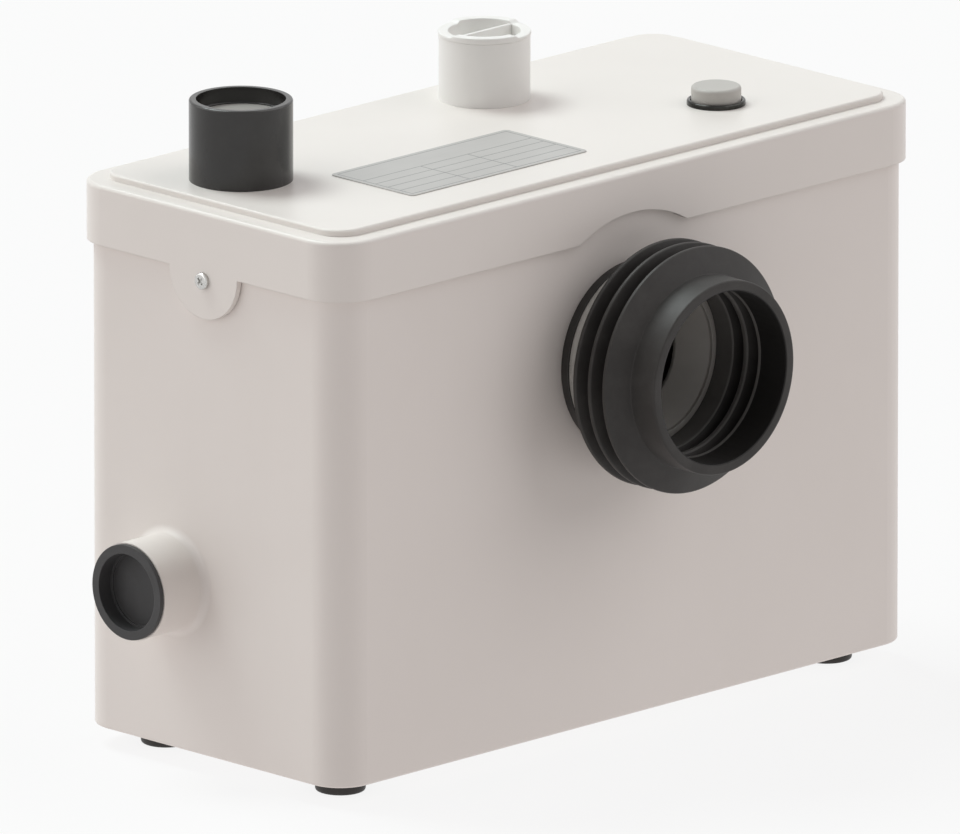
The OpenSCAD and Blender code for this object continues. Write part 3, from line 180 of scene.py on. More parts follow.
# moulded plastics: faint flow clouds, fine eroded grain, rubbed edges and a little settled dust
plasticLooks = {
    "tankPlastic": {"low": (0.806, 0.762, 0.727), "high": (0.828, 0.786, 0.752), "cloudScale": 9,
                    "grainScale": 1900, "smearScale": 16, "edgeSize": 0.0007,
                    "edgeColour": (0.84, 0.82, 0.79), "edgeWear": 0.35, "dust": 0.10,
                    "dustColour": (0.70, 0.665, 0.62), "gloss": 0.42, "rough": 0.42, "roughGrain": 0.14,
                    "roughCloud": 0.10, "grainDepth": 0.00005, "waviness": 0.5},
    "lidPlastic": {"low": (0.808, 0.768, 0.732), "high": (0.830, 0.792, 0.756), "cloudScale": 11,
                   "grainScale": 2300, "smearScale": 19, "edgeSize": 0.0006,
                   "edgeColour": (0.86, 0.85, 0.83), "edgeWear": 0.35, "dust": 0.07,
                   "dustColour": (0.73, 0.70, 0.66), "gloss": 0.45, "rough": 0.36, "roughGrain": 0.12,
                   "roughCloud": 0.08, "grainDepth": 0.00004, "waviness": 0.5},
    "neckPlastic": {"low": (0.860, 0.849, 0.826), "high": (0.880, 0.870, 0.848), "cloudScale": 14,
                    "grainScale": 2300, "smearScale": 22, "edgeSize": 0.0005,
                    "edgeColour": (0.88, 0.87, 0.855), "edgeWear": 0.3, "dust": 0.06,
                    "dustColour": (0.76, 0.74, 0.71), "gloss": 0.45, "rough": 0.36, "roughGrain": 0.12,
                    "roughCloud": 0.08, "grainDepth": 0.00004, "waviness": 0.4},
    "spigotPlastic": {"low": (0.806, 0.762, 0.727), "high": (0.828, 0.786, 0.752), "cloudScale": 9,
                      "grainScale": 1900, "smearScale": 16, "edgeSize": 0.0,
                      "edgeColour": (0.84, 0.82, 0.79), "edgeWear": 0.0, "dust": 0.10,
                      "dustColour": (0.70, 0.665, 0.62), "gloss": 0.42, "rough": 0.40, "roughGrain": 0.14,
                      "roughCloud": 0.10, "grainDepth": 0.00004, "waviness": 0.5},
    "greyPlastic": {"low": (0.468, 0.452, 0.425), "high": (0.498, 0.482, 0.454), "cloudScale": 30,
                    "grainScale": 2100, "smearScale": 40, "edgeSize": 0.0005,
                    "edgeColour": (0.60, 0.59, 0.56), "edgeWear": 0.4, "dust": 0.08,
                    "dustColour": (0.42, 0.40, 0.37), "gloss": 0.45, "rough": 0.44, "roughGrain": 0.14,
                    "roughCloud": 0.10, "grainDepth": 0.00005, "waviness": 0.3},
    "paleGreyPlastic": {"low": (0.375, 0.362, 0.34), "high": (0.41, 0.397, 0.374), "cloudScale": 34,
                        "grainScale": 2000, "smearScale": 46, "edgeSize": 0.0005,
                        "edgeColour": (0.56, 0.55, 0.53), "edgeWear": 0.4, "dust": 0.12,
                        "dustColour": (0.36, 0.35, 0.33), "gloss": 0.45, "rough": 0.40, "roughGrain": 0.14,
                        "roughCloud": 0.10, "grainDepth": 0.00005, "waviness": 0.3},
    "funnelPlastic": {"low": (0.33, 0.322, 0.302), "high": (0.38, 0.371, 0.35), "cloudScale": 36,
                      "grainScale": 2000, "smearScale": 44, "edgeSize": 0.0004,
                      "edgeColour": (0.62, 0.61, 0.58), "edgeWear": 0.5, "dust": 0.25,
                      "dustColour": (0.30, 0.28, 0.25), "gloss": 0.4, "rough": 0.42, "roughGrain": 0.14,
                      "roughCloud": 0.12, "grainDepth": 0.00005, "waviness": 0.3},
    "darkPlastic": {"low": (0.020, 0.020, 0.021), "high": (0.030, 0.030, 0.030), "cloudScale": 36,
                    "grainScale": 2000, "smearScale": 44, "edgeSize": 0.0004,
                    "edgeColour": (0.085, 0.084, 0.082), "edgeWear": 0.5, "dust": 0.20,
                    "dustColour": (0.075, 0.072, 0.068), "gloss": 0.45, "rough": 0.40, "roughGrain": 0.16,
                    "roughCloud": 0.12, "grainDepth": 0.00005, "waviness": 0.3},
}
smearStretch = (1, 1, 0.22)  # dust runs down the walls


def mouldedPlastic(name, look):
    material, tree, surface = newFinish(name, {"Specular IOR Level": look["gloss"], "IOR": 1.5})
    place = objectSpace(tree)
    cloud = grainOf(tree, place, look["cloudScale"], detail=4, rough=0.55)
    grain = grainOf(tree, place, look["grainScale"], detail=2, rough=0.6)
    smear = grainOf(tree, objectSpace(tree, smearStretch), look["smearScale"], detail=5, rough=0.6)
    colour = blendColours(tree, ramp(tree, cloud, *midRange), rgb(look["low"]), rgb(look["high"]))
    if look["edgeWear"]:
        worn = edgeShare(tree, look["edgeSize"]) * look["edgeWear"]
        colour = blendColours(tree, worn, colour, rgb(look["edgeColour"]))
    dusty = ramp(tree, smear, (0.52, 0.0), (0.8, 1.0)) * look["dust"]
    dress(surface, tree,
          colour=blendColours(tree, dusty, colour, rgb(look["dustColour"])),
          rough=look["rough"] + (grain - 0.5) * look["roughGrain"] + (cloud - 0.5) * look["roughCloud"],
          normal=relief(tree, grain + cloud * look["waviness"], look["grainDepth"], strength=0.6,
                        edge=look["edgeSize"]))
    return material


# moulded rubber: matt, with a pale bloom in patches and along rubbed edges
rubberLooks = {
    "sleeveRubber": {"base": (0.036, 0.0338, 0.0322), "bloomColour": (0.080, 0.077, 0.074), "bloom": 0.45,
                     "edgeSize": 0.0008, "edgeWear": 0.5, "cloudScale": 42, "grainScale": 1500,
                     "speckScale": 900, "speck": 0.2, "gloss": 0.22, "sheen": 0.02, "rough": 0.46,
                     "roughCloud": 0.16, "roughGrain": 0.12, "grainDepth": 0.00007},
    "socketRubber": {"base": (0.018, 0.0168, 0.0155), "bloomColour": (0.044, 0.0425, 0.040), "bloom": 0.3,
                     "edgeSize": 0.0005, "edgeWear": 0.6, "cloudScale": 38, "grainScale": 1800,
                     "speckScale": 1000, "speck": 0.15, "gloss": 0.5, "sheen": 0.0, "rough": 0.22,
                     "roughCloud": 0.12, "roughGrain": 0.10, "grainDepth": 0.00004},
    "plugRubber": {"base": (0.044, 0.0437, 0.0449), "bloomColour": (0.084, 0.084, 0.086), "bloom": 0.45,
                   "edgeSize": 0.0005, "edgeWear": 0.5, "cloudScale": 55, "grainScale": 1600,
                   "speckScale": 900, "speck": 0.25, "gloss": 0.32, "sheen": 0.03, "rough": 0.55,
                   "roughCloud": 0.16, "roughGrain": 0.12, "grainDepth": 0.00006},
}


def blackRubber(name, look, paintedShading=None):
    material, tree, surface = newFinish(name, {"Specular IOR Level": look["gloss"], "IOR": 1.5,
                                               "Sheen Weight": look["sheen"], "Sheen Roughness": 0.5})
    place = objectSpace(tree)
    cloud = grainOf(tree, place, look["cloudScale"], detail=5, rough=0.6)
    grain = grainOf(tree, place, look["grainScale"], detail=3, rough=0.65)
    specks = grainOf(tree, place, look["speckScale"], detail=1, rough=0.5)
    bloom = ramp(tree, cloud, (0.4, 0.0), (0.72, 1.0)) * look["bloom"]
    pale = larger(bloom, edgeShare(tree, look["edgeSize"]) * look["edgeWear"])
    dots = ramp(tree, specks, (0.7, 0.0), (0.78, 1.0)) * look["speck"]
    colour = blendColours(tree, larger(pale, dots), rgb(look["base"]), rgb(look["bloomColour"]))
    # painted light and shade, where given, are laid over the rubber's colour
    for colouring, share in paintedShading(tree, place, cloud) if paintedShading else ():
        colour = blendColours(tree, share, colour, rgb(colouring))
    dress(surface, tree, colour=colour,
          rough=look["rough"] + (cloud - 0.5) * look["roughCloud"] + (grain - 0.5) * look["roughGrain"],
          normal=relief(tree, grain, look["grainDepth"], strength=0.7, edge=look["edgeSize"]))
    return material


# the sleeve's bore: the inner ridges are painted paler as painted light, and the mouth's inner wall is
# painted near black as painted shade
boreLook = {"scale": (0.19, 0.186, 0.178), "paintedLightShare": 0.75, "paintedShade": (0.007, 0.0066, 0.0062),
            "paintedShadeShare": 0.85, "reach": 0.0422, "mouth": 0.0463}


# paints light onto the bore's ridges and shade into its mouth, both as colour
def boreLightAndShade(tree, place, cloud):
    low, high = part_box("pan_sleeve")
    centre = (low + high) / 2
    across, along, up = (axisOf(tree, place, axis) for axis in "XYZ")
    aside, above = across - centre.x, up - centre.z
    inBore = (aside * aside + above * above) < boreLook["reach"] ** 2
    inMouth = along < high.y - boreLook["mouth"]
    # painted light: a paler colour on the bore's inner surfaces behind the mouth
    paintedLit = inBore * (1 - inMouth) * (cloud * 0.5 + 0.5) * boreLook["paintedLightShare"]
    # returns the painted light colour and share, then the painted shade colour and share
    return (boreLook["scale"], paintedLit), (boreLook["paintedShade"], inBore * inMouth * boreLook["paintedShadeShare"])


# drawn and turned steel: fine lines along one direction, bright edges, dull patches
metalLooks = {
    "bandSteel": {"low": (0.50, 0.50, 0.49), "high": (0.68, 0.68, 0.66), "edgeColour": (0.80, 0.80, 0.78),
                  "edgeSize": 0.0003, "edgeWear": 0.5, "lines": (40, 5200, 40), "cloudScale": 60,
                  "rough": 0.30, "roughLines": 0.22, "roughCloud": 0.16, "lineDepth": 0.00002},
    "screwSteel": {"low": (0.46, 0.46, 0.45), "high": (0.66, 0.65, 0.63), "edgeColour": (0.82, 0.81, 0.79),
                   "edgeSize": 0.0003, "edgeWear": 0.6, "lines": (900, 2600, 2600), "cloudScale": 320,
                   "rough": 0.26, "roughLines": 0.2, "roughCloud": 0.2, "lineDepth": 0.00002},
    "turnedSteel": {"low": (0.48, 0.48, 0.48), "high": (0.64, 0.64, 0.63), "edgeColour": (0.78, 0.78, 0.76),
                    "edgeSize": 0.0003, "edgeWear": 0.5, "lines": (4200, 60, 60), "cloudScale": 70,
                    "rough": 0.28, "roughLines": 0.24, "roughCloud": 0.16, "lineDepth": 0.00002},
}


def brushedMetal(name, look):
    material, tree, surface = newFinish(name, {"Metallic": 1.0})
    lines = grainOf(tree, objectSpace(tree, look["lines"]), scale=1.0, detail=4, rough=0.6)
    cloud = grainOf(tree, objectSpace(tree), look["cloudScale"], detail=4, rough=0.55)
    tone = ramp(tree, lines * 0.7 + cloud * 0.3, *midRange)
    body = blendColours(tree, tone, rgb(look["low"]), rgb(look["high"]))
    worn = edgeShare(tree, look["edgeSize"]) * look["edgeWear"]
    dress(surface, tree, colour=blendColours(tree, worn, body, rgb(look["edgeColour"])),
          rough=look["rough"] + (lines - 0.5) * look["roughLines"] + (cloud - 0.5) * look["roughCloud"],
          normal=relief(tree, lines, look["lineDepth"], strength=0.5, edge=look["edgeSize"]))
    return material


# cast alloy: sandy skin with darker hollows
alloyLook = {"low": (0.40, 0.40, 0.41), "high": (0.60, 0.60, 0.61), "lumpScale": 900, "cloudScale": 40,
             "rough": 0.5, "roughCloud": 0.2, "lumpDepth": 0.00018, "edgeSize": 0.0006}


def castAlloy(name, look):
    material, tree, surface = newFinish(name, {"Metallic": 0.9})
    place = objectSpace(tree)
    skin = grainOf(tree, place, look["lumpScale"], detail=6, rough=0.65)
    cloud = grainOf(tree, place, look["cloudScale"], detail=3)
    tone = ramp(tree, skin, (0.35, 0.0), (0.65, 1.0))
    dress(surface, tree, colour=blendColours(tree, tone, rgb(look["low"]), rgb(look["high"])),
          rough=look["rough"] + (cloud - 0.5) * look["roughCloud"],
          normal=relief(tree, skin, look["lumpDepth"], strength=0.8, edge=look["edgeSize"]))
    return material


# stacked core sheets and enamelled copper strands: even lines across one axis
stackLooks = {
    "coreSheets": {"low": (0.16, 0.165, 0.17), "high": (0.36, 0.365, 0.37), "lines": (620, 0, 0),
                   "wander": 0.0, "cloudScale": 90, "metal": 0.85, "coat": 0.0, "rough": 0.48,
                   "roughCloud": 0.2, "lineDepth": 0.0001},
    "copperStrands": {"low": (0.24, 0.09, 0.03), "high": (0.66, 0.33, 0.14), "lines": (300, 130, 130),
                      "wander": 1.6, "cloudScale": 120, "metal": 0.75, "coat": 0.5, "rough": 0.34,
                      "roughCloud": 0.2, "lineDepth": 0.0003},
}


def laidStack(name, look):
    material, tree, surface = newFinish(name, {"Metallic": look["metal"], "Coat Weight": look["coat"],
                                               "Coat Roughness": 0.25})
    strands = Wire.add(tree, "TexWave", {"wave_type": "BANDS", "bands_direction": "X", "wave_profile": "SIN"},
                       {"Vector": objectSpace(tree, look["lines"]), "Scale": 1.0,
                        "Distortion": look["wander"], "Detail": 2.0, "Detail Scale": 0.6}, 1)
    cloud = grainOf(tree, objectSpace(tree), look["cloudScale"], detail=4)
    tone = ramp(tree, strands * 0.75 + cloud * 0.25, (0.15, 0.0), (0.8, 1.0))
    dress(surface, tree, colour=blendColours(tree, tone, rgb(look["low"]), rgb(look["high"])),
          rough=look["rough"] + (cloud - 0.5) * look["roughCloud"],
          normal=relief(tree, strands, look["lineDepth"], strength=0.8))
    return material


# pressed charcoal granules, darker between them as painted shade in the pores
foamLook = {"low": (0.006, 0.006, 0.006), "high": (0.055, 0.054, 0.052), "granule": 620, "fine": 1500,
            "ragged": 0.5, "rough": 0.85, "roughFine": 0.2, "depth": 0.0005}


def charcoalFoam(name, look):
    material, tree, surface = newFinish(name, {"Specular IOR Level": 0.25})
    place = objectSpace(tree)
    cells = Wire.add(tree, "TexVoronoi", {"feature": "F1"},
                     {"Vector": place, "Scale": look["granule"]}, "Distance")
    fine = grainOf(tree, place, look["fine"], detail=4, rough=0.7)
    # darker towards the cell edges, where the relief is lowest: painted shade
    share = ramp(tree, cells + (fine - 0.5) * look["ragged"], (0.2, 1.0), (0.62, 0.0))
    dress(surface, tree, colour=blendColours(tree, share, rgb(look["low"]), rgb(look["high"])),
          rough=look["rough"] + (fine - 0.5) * look["roughFine"],
          normal=relief(tree, fine - cells, look["depth"], strength=0.9))
    return material


# circuit board: green lacquer over fine tracks
boardLook = {"low": (0.012, 0.095, 0.035), "high": (0.022, 0.135, 0.055), "track": (0.05, 0.22, 0.09),
             "tracks": 230, "cloudScale": 60, "rough": 0.34, "roughCloud": 0.15, "depth": 0.00005}


def boardLacquer(name, look):
    material, tree, surface = newFinish(name, {"Specular IOR Level": 0.5})
    place = objectSpace(tree)
    black, white = rgb((0, 0, 0)), rgb((1, 1, 1))
    tracks = Wire.add(tree, "TexBrick", {"offset": 0.37, "squash": 1.6, "squash_frequency": 3},
                      {"Vector": place, "Scale": look["tracks"], "Mortar Size": 0.035, "Brick Width": 0.9,
                       "Row Height": 0.28, "Color1": black, "Color2": black, "Mortar": white})
    cloud = grainOf(tree, place, look["cloudScale"], detail=3)
    ground = blendColours(tree, cloud, rgb(look["low"]), rgb(look["high"]))
    dress(surface, tree, colour=blendColours(tree, tracks, ground, rgb(look["track"])),
          rough=look["rough"] + (cloud - 0.5) * look["roughCloud"],
          normal=relief(tree, tracks, look["depth"], strength=0.6))
    return material


# button ring: polished plating with a faint haze; its base colour is made near black as a painted reflection
# of dark surroundings
ringLook = {"low": (0.022, 0.022, 0.021), "high": (0.055, 0.054, 0.051), "hazeScale": 170,
            "scratchScale": 700, "scratches": (1, 1, 9), "rough": 0.10, "roughHaze": 0.12,
            "scratchDepth": 0.00002}


def platedRing(name, look):
    material, tree, surface = newFinish(name, {"Metallic": 1.0})
    haze = grainOf(tree, objectSpace(tree), look["hazeScale"], detail=5, rough=0.6)
    scratch = grainOf(tree, objectSpace(tree, look["scratches"]), look["scratchScale"], detail=2, rough=0.6)
    share = ramp(tree, haze, (0.35, 0.0), (0.7, 1.0))
    dress(surface, tree, colour=blendColours(tree, share, rgb(look["low"]), rgb(look["high"])),
          rough=look["rough"] + (haze - 0.4) * look["roughHaze"],
          normal=relief(tree, scratch, look["scratchDepth"], strength=0.4))
    return material


# label: satin grey film with a plain printed frame and empty ruled rows
filmLook = {"low": (0.448, 0.438, 0.425), "high": (0.535, 0.524, 0.51), "ink": (0.13, 0.135, 0.14),
            "inkShare": 0.8, "inset": 0.0026, "lineWidth": 0.0005, "headShare": 0.66, "rows": 4,
            "columns": (0.34, 0.62), "lines": (60, 5200, 60), "cloudScale": 38, "rough": 0.52,
            "roughLines": 0.14, "roughInk": 0.12, "metal": 0.12, "lineDepth": 0.00001}


def labelFilm(name, look, low, high):
    material, tree, surface = newFinish(name, {"Specular IOR Level": 0.5})
    place = objectSpace(tree)
    lines = grainOf(tree, objectSpace(tree, look["lines"]), scale=1.0, detail=3, rough=0.6)
    cloud = grainOf(tree, place, look["cloudScale"], detail=4)
    across, along = axisOf(tree, place, "X"), axisOf(tree, place, "Y")
    inset, width = look["inset"], look["lineWidth"]
    left, right, front, back = low.x + inset, high.x - inset, low.y + inset, high.y - inset
    split = front + (back - front) * look["headShare"]

    def ruled(value, at):
        return Wire.add(tree, "Math", {"operation": "ABSOLUTE"}, {0: value - at}) < width / 2

    def between(value, first, last):
        return (value > first - width / 2) * (value < last + width / 2)

    inX, inY, lower = between(across, left, right), between(along, front, back), between(along, front, split)
    ink = larger(ruled(across, left) * inY, ruled(across, right) * inY)
    for row in [back] + [front + (split - front) * i / look["rows"] for i in range(look["rows"] + 1)]:
        ink = larger(ink, ruled(along, row) * inX)
    for share in look["columns"]:
        ink = larger(ink, ruled(across, left + (right - left) * share) * lower)
    tone = ramp(tree, lines * 0.6 + cloud * 0.4, *midRange)
    film = blendColours(tree, tone, rgb(look["low"]), rgb(look["high"]))
    dress(surface, tree, colour=blendColours(tree, ink * look["inkShare"], film, rgb(look["ink"])),
          rough=look["rough"] + (lines - 0.5) * look["roughLines"] + ink * look["roughInk"],
          metal=look["metal"] - ink * look["metal"],
          normal=relief(tree, lines, look["lineDepth"], strength=0.3))
    return material


finishes = {}
for made, looks in ((mouldedPlastic, plasticLooks), (blackRubber, rubberLooks), (brushedMetal, metalLooks),
                    (laidStack, stackLooks)):
    finishes.update({name: made(name, look) for name, look in looks.items()})
# the sleeve's finish, with painted light and shade in its bore
finishes["sleevePaintedShading"] = blackRubber("sleevePaintedShading", rubberLooks["sleeveRubber"], boreLightAndShade)
finishes["castAlloy"] = castAlloy("castAlloy", alloyLook)
finishes["charcoalFoam"] = charcoalFoam("charcoalFoam", foamLook)
finishes["boardLacquer"] = boardLacquer("boardLacquer", boardLook)
finishes["platedRing"] = platedRing("platedRing", ringLook)
finishes["labelFilm"] = labelFilm("labelFilm", filmLook, *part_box("rating_plate"))

wornBy = {
    "tankPlastic": "tank",
    "spigotPlastic": "pan_collar side_spigot",
    "lidPlastic": "lid",
    "neckPlastic": "vent_neck vent_cap",
    "greyPlastic": "button_cap motor_cradle discharge_pipe valve_body level_tube diaphragm_cover "
                   "switch_plunger control_box control_box_lid pump_casing pump_cover impeller",
    "paleGreyPlastic": "discharge_plug",
    "funnelPlastic": "splash_ring",
    "darkPlastic": "button_housing button_nut button_switch cable_gland gland_nut micro_switch",
    "sleeveRubber": "rubber_feet lid_gasket pan_sleeve cap_seal_ring shaft_seal diaphragm",
    "socketRubber": "discharge_socket",
    "plugRubber": "side_plug side_flap valve_flap",
    "bandSteel": "sleeve_clamp cutting_basket motor_can",
    "screwSteel": "lid_screws clamp_screw side_flap_pin button_spring motor_bolts pump_screws impeller_nut "
                  "valve_flap_pin cutter_blade",
    "turnedSteel": "shaft shaft_bearings",
    "coreSheets": "stator_core rotor_core",
    "copperStrands": "stator_windings",
    "castAlloy": "motor_front_plate motor_rear_cap capacitor",
    "charcoalFoam": "vent_filter",
    "boardLacquer": "circuit_board",
    "platedRing": "button_bezel",
    "labelFilm": "rating_plate",
}
for finish, names in wornBy.items():
    for name in names.split():
        cadNodes[name].data.materials.clear()
        cadNodes[name].data.materials.append(finishes[finish])
print("finishes on", sum(len(names.split()) for names in wornBy.values()), "solids")


# in mm: outlines that reach their axis stop this far from it, and points this close are joined
core, joinWithin = 0.01, 0.03


def roundCorners(points, steps=6):
    # points are (across, along, corner radius); returns the closed outline with those corners rounded
    outline, mostOfSide = [], 0.49
    for i, (x, y, radius) in enumerate(points):
        here = Vector((x, y))
        toBefore = Vector(points[i - 1][:2]) - here
        toAfter = Vector(points[(i + 1) % len(points)][:2]) - here
        if not radius:
            outline.append(here)
            continue
        reach = radius / math.tan(toBefore.angle(toAfter) / 2)
        reach = min(reach, toBefore.length * mostOfSide, toAfter.length * mostOfSide)
        start, end = here + toBefore.normalized() * reach, here + toAfter.normalized() * reach
        for k in range(steps + 1):
            t = k / steps
            outline.append(start * (1 - t) ** 2 + here * 2 * t * (1 - t) + end * t * t)
    return outline


def spin(bm, outline, sides, place):
    # turns a closed (radius, distance) outline in mm; place maps radius, angle and distance to a point
    count = len(outline)
    angles = [2 * math.pi * k / sides for k in range(sides)]
    rings = [[bm.verts.new(place(p.x * mm, angle, p.y * mm)) for p in outline] for angle in angles]
    bands = []
    for k in range(sides):
        near, far = rings[k], rings[(k + 1) % sides]
        bands.append([bm.faces.new((near[i], near[(i + 1) % count], far[(i + 1) % count], far[i]))
                      for i in range(count)])
    return bands


def block(bm, size, place, edge):
    # a box in mm with rounded edges; place maps local mm to a point
    made = bmesh.ops.create_cube(bm, size=1)["verts"]
    for vert in made:
        vert.co = Vector(a * b for a, b in zip(vert.co, size))
    edges = list(dict.fromkeys(e for v in made for e in v.link_edges))
    rounded = bmesh.ops.bevel(bm, geom=edges, offset=edge, offset_type="OFFSET", segments=3, profile=0.5,
                              affect="EDGES")
    for vert in {v for f in rounded["faces"] for v in f.verts}:
        vert.co = place(vert.co)


def sweep(bm, path, radius, sides):
    # a round bar along a list of points
    rings, up = [], Vector((0, 0, 1))
    for i, here in enumerate(path):
        ahead = (path[min(i + 1, len(path) - 1)] - path[max(i - 1, 0)]).normalized()
        side = ahead.cross(up).normalized()
        top = side.cross(ahead)
        rings.append([bm.verts.new(here + (side * math.cos(a) + top * math.sin(a)) * radius)
                      for a in (2 * math.pi * k / sides for k in range(sides))])
    for near, far in zip(rings, rings[1:]):
        for k in range(sides):
            bm.faces.new((near[k], near[(k + 1) % sides], far[(k + 1) % sides], far[k]))
    bm.faces.new(rings[0][::-1])
    bm.faces.new(rings[-1])


def meshPiece(name, bm, smoothBelow=35):
    bmesh.ops.remove_doubles(bm, verts=bm.verts, dist=joinWithin * mm)
    bmesh.ops.delete(bm, geom=[e for e in bm.edges if not e.link_faces], context="EDGES")
    bmesh.ops.recalc_face_normals(bm, faces=bm.faces)
    for edge in bm.edges:
        if len(edge.link_faces) == 2 and edge.calc_face_angle(0) > math.radians(smoothBelow):
            edge.smooth = False
    mesh = bpy.data.meshes.new(name)
    bm.to_mesh(mesh)
    bm.free()
    for face in mesh.polygons:
        face.use_smooth = True
    piece = bpy.data.objects.new(name, mesh)
    bpy.context.scene.collection.objects.link(piece)
    return piece


def fit(piece, finish, body, slotName, *replaced):
    piece.data.materials.append(finishes[finish])
    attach(piece, body)
    for node in replaced:
        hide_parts(node)
    return piece


def middle(name):
    low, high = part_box(name)
    return (low + high) / 2, low, high


# pan sleeve: end bead, clamped base, three folded fins, cone and mouth, in mm from the tank's front
sleeve = {"baseIn": 41.15, "baseOut": 44.05, "beadOut": 45.5, "beadWidth": 4.95, "foldStart": 17.2,
          "finStart": 22.7, "finPitch": 9.65, "finOut": 59.3, "finTip": 0.95, "valleyOut": 46.0,
          "valleyHalf": 0.8, "wall": 2.4, "ridgeIn": 41.3, "ridgeFlat": 2.3, "foldRun": 1.0, "footRun": 1.5,
          "mouthStart": 47.8, "mouthOut": 46.8, "mouthIn": 41.6, "mouthFoot": 46.4, "footIn": 40.9,
          "mouthTaper": 0.1, "length": 63.1, "lip": 0.9, "sides": 192}
inlet, wallY = middle("pan_sleeve")[0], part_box("pan_sleeve")[1].y


def fromFront(radius, angle, out):
    return (inlet.x + radius * math.cos(angle), wallY - out, inlet.z + radius * math.sin(angle))


def sleeveOutline(s):
    points = [(s["baseIn"], 0, 0.3), (s["beadOut"], 0, 0.6), (s["beadOut"], s["beadWidth"], 0.6),
              (s["baseOut"], s["beadWidth"], 0.1), (s["baseOut"], s["foldStart"], 0.8),
              (s["valleyOut"], s["foldStart"] + s["foldRun"], 0.8)]
    fins = [s["finStart"] + i * s["finPitch"] for i in range(3)]
    for fin in fins:
        points += [(s["finOut"], fin - s["finTip"], 0.8), (s["finOut"], fin + s["finTip"], 0.8)]
        valley = fin + s["finPitch"] / 2
        if fin < fins[-1]:
            points += [(s["valleyOut"], valley - s["valleyHalf"], 0.8),
                       (s["valleyOut"], valley + s["valleyHalf"], 0.8)]
    points += [(s["mouthOut"], s["mouthStart"], 0.4),
               (s["mouthOut"] - s["mouthTaper"], s["length"], s["lip"]),
               (s["mouthIn"], s["length"], 0.6), (s["mouthIn"], s["mouthFoot"], 0.2),
               (s["footIn"], s["mouthFoot"] - s["footRun"], 0.3)]
    for fin in fins[:0:-1]:
        ridge = fin - s["finPitch"] / 2
        points += [(s["finOut"] - s["wall"], fin, 1.2), (s["ridgeIn"], ridge, 0.3)]
        if fin > fins[1]:
            points.append((s["ridgeIn"], ridge - s["ridgeFlat"], 0.5))
    return roundCorners(points)


bm = bmesh.new()
spin(bm, sleeveOutline(sleeve), sleeve["sides"], fromFront)
fit(meshPiece("panSleeve", bm), "sleevePaintedShading", "tank_body", "black_rubber", "pan_sleeve")

# clamp band: rolled edges and a row of pressed worm slots beside the screw
band = {"thick": 1.0, "edge": 0.35, "slotStart": 24, "slotEnd": 118, "slotInset": 0.12, "slotDepth": 0.55,
        "slotFrom": 0.2, "slotTo": 0.8, "sides": 240}
hub, low, high = middle("sleeve_clamp")
bandOut, bandWidth, bandStart = (high.x - low.x) / 2 / mm, (high.y - low.y) / mm, high.y
bandIn = bandOut - band["thick"]


def fromBand(radius, angle, out):
    return (hub.x + radius * math.cos(angle), bandStart - out, hub.z + radius * math.sin(angle))


outline = roundCorners([(bandIn, 0, 0.2), (bandOut, 0, band["edge"]), (bandOut, bandWidth, band["edge"]),
                        (bandIn, bandWidth, 0.2)], steps=3)
# the long edge of the outer face is split where the slots start and end
splitAt = next(i for i, p in enumerate(outline) if p.x > bandOut - 0.001 and outline[i + 1].y - p.y > 1)
slotEnds = [Vector((bandOut, bandWidth * band[end])) for end in ("slotFrom", "slotTo")]
outline[splitAt + 1:splitAt + 1] = slotEnds
bm = bmesh.new()
bands = spin(bm, outline, band["sides"], fromBand)
step = 360 / band["sides"]
slots = [bands[k][splitAt + 1] for k in range(0, band["sides"], 2)
         if band["slotStart"] < k * step < band["slotEnd"]]
bmesh.ops.recalc_face_normals(bm, faces=bm.faces)
bmesh.ops.inset_individual(bm, faces=slots, thickness=band["slotInset"] * mm, depth=-band["slotDepth"] * mm)
fit(meshPiece("clampBand", bm), "bandSteel", "tank_body", "steel", "sleeve_clamp")

# clamp screw: rounded worm housing with a slotted screw across it
worm = {"turn": 15, "block": (6, 9, 7.4), "edge": 0.9, "screwR": 2.2, "headR": 2.9, "headLength": 3.4,
        "reach": 9.0, "slot": 0.9, "slotDepth": 1.2, "threads": 7, "threadRoot": 0.8, "sides": 36}
seat = middle("clamp_screw")[0]
turn = math.radians(worm["turn"])
radial, tangent = Vector((math.cos(turn), 0, math.sin(turn))), Vector((-math.sin(turn), 0, math.cos(turn)))
outward = Vector((0, -1, 0))


def atClamp(local):
    return seat + (radial * local[0] + tangent * local[1] + outward * local[2]) * mm


def alongWorm(radius, angle, out):
    return seat + (radial * math.cos(angle) + outward * math.sin(angle)) * radius + tangent * out


bm = bmesh.new()
block(bm, worm["block"], atClamp, worm["edge"])
pitch = (2 * worm["reach"] - worm["headLength"]) / worm["threads"]
tip, slotFoot = worm["reach"], worm["reach"] - worm["slotDepth"]
profile = [(core, -tip, 0)]
for i in range(worm["threads"]):
    profile += [(worm["screwR"] * worm["threadRoot"], -tip + i * pitch, 0),
                (worm["screwR"], -tip + (i + 0.5) * pitch, 0.2)]
profile += [(worm["headR"], tip - worm["headLength"], 0.2), (worm["headR"], tip, 0.5),
            (worm["slot"], tip, 0.1), (worm["slot"], slotFoot, 0.1), (core, slotFoot, 0)]
spin(bm, roundCorners(profile, steps=3), worm["sides"], alongWorm)
fit(meshPiece("clampScrew", bm), "screwSteel", "tank_body", "steel", "clamp_screw")

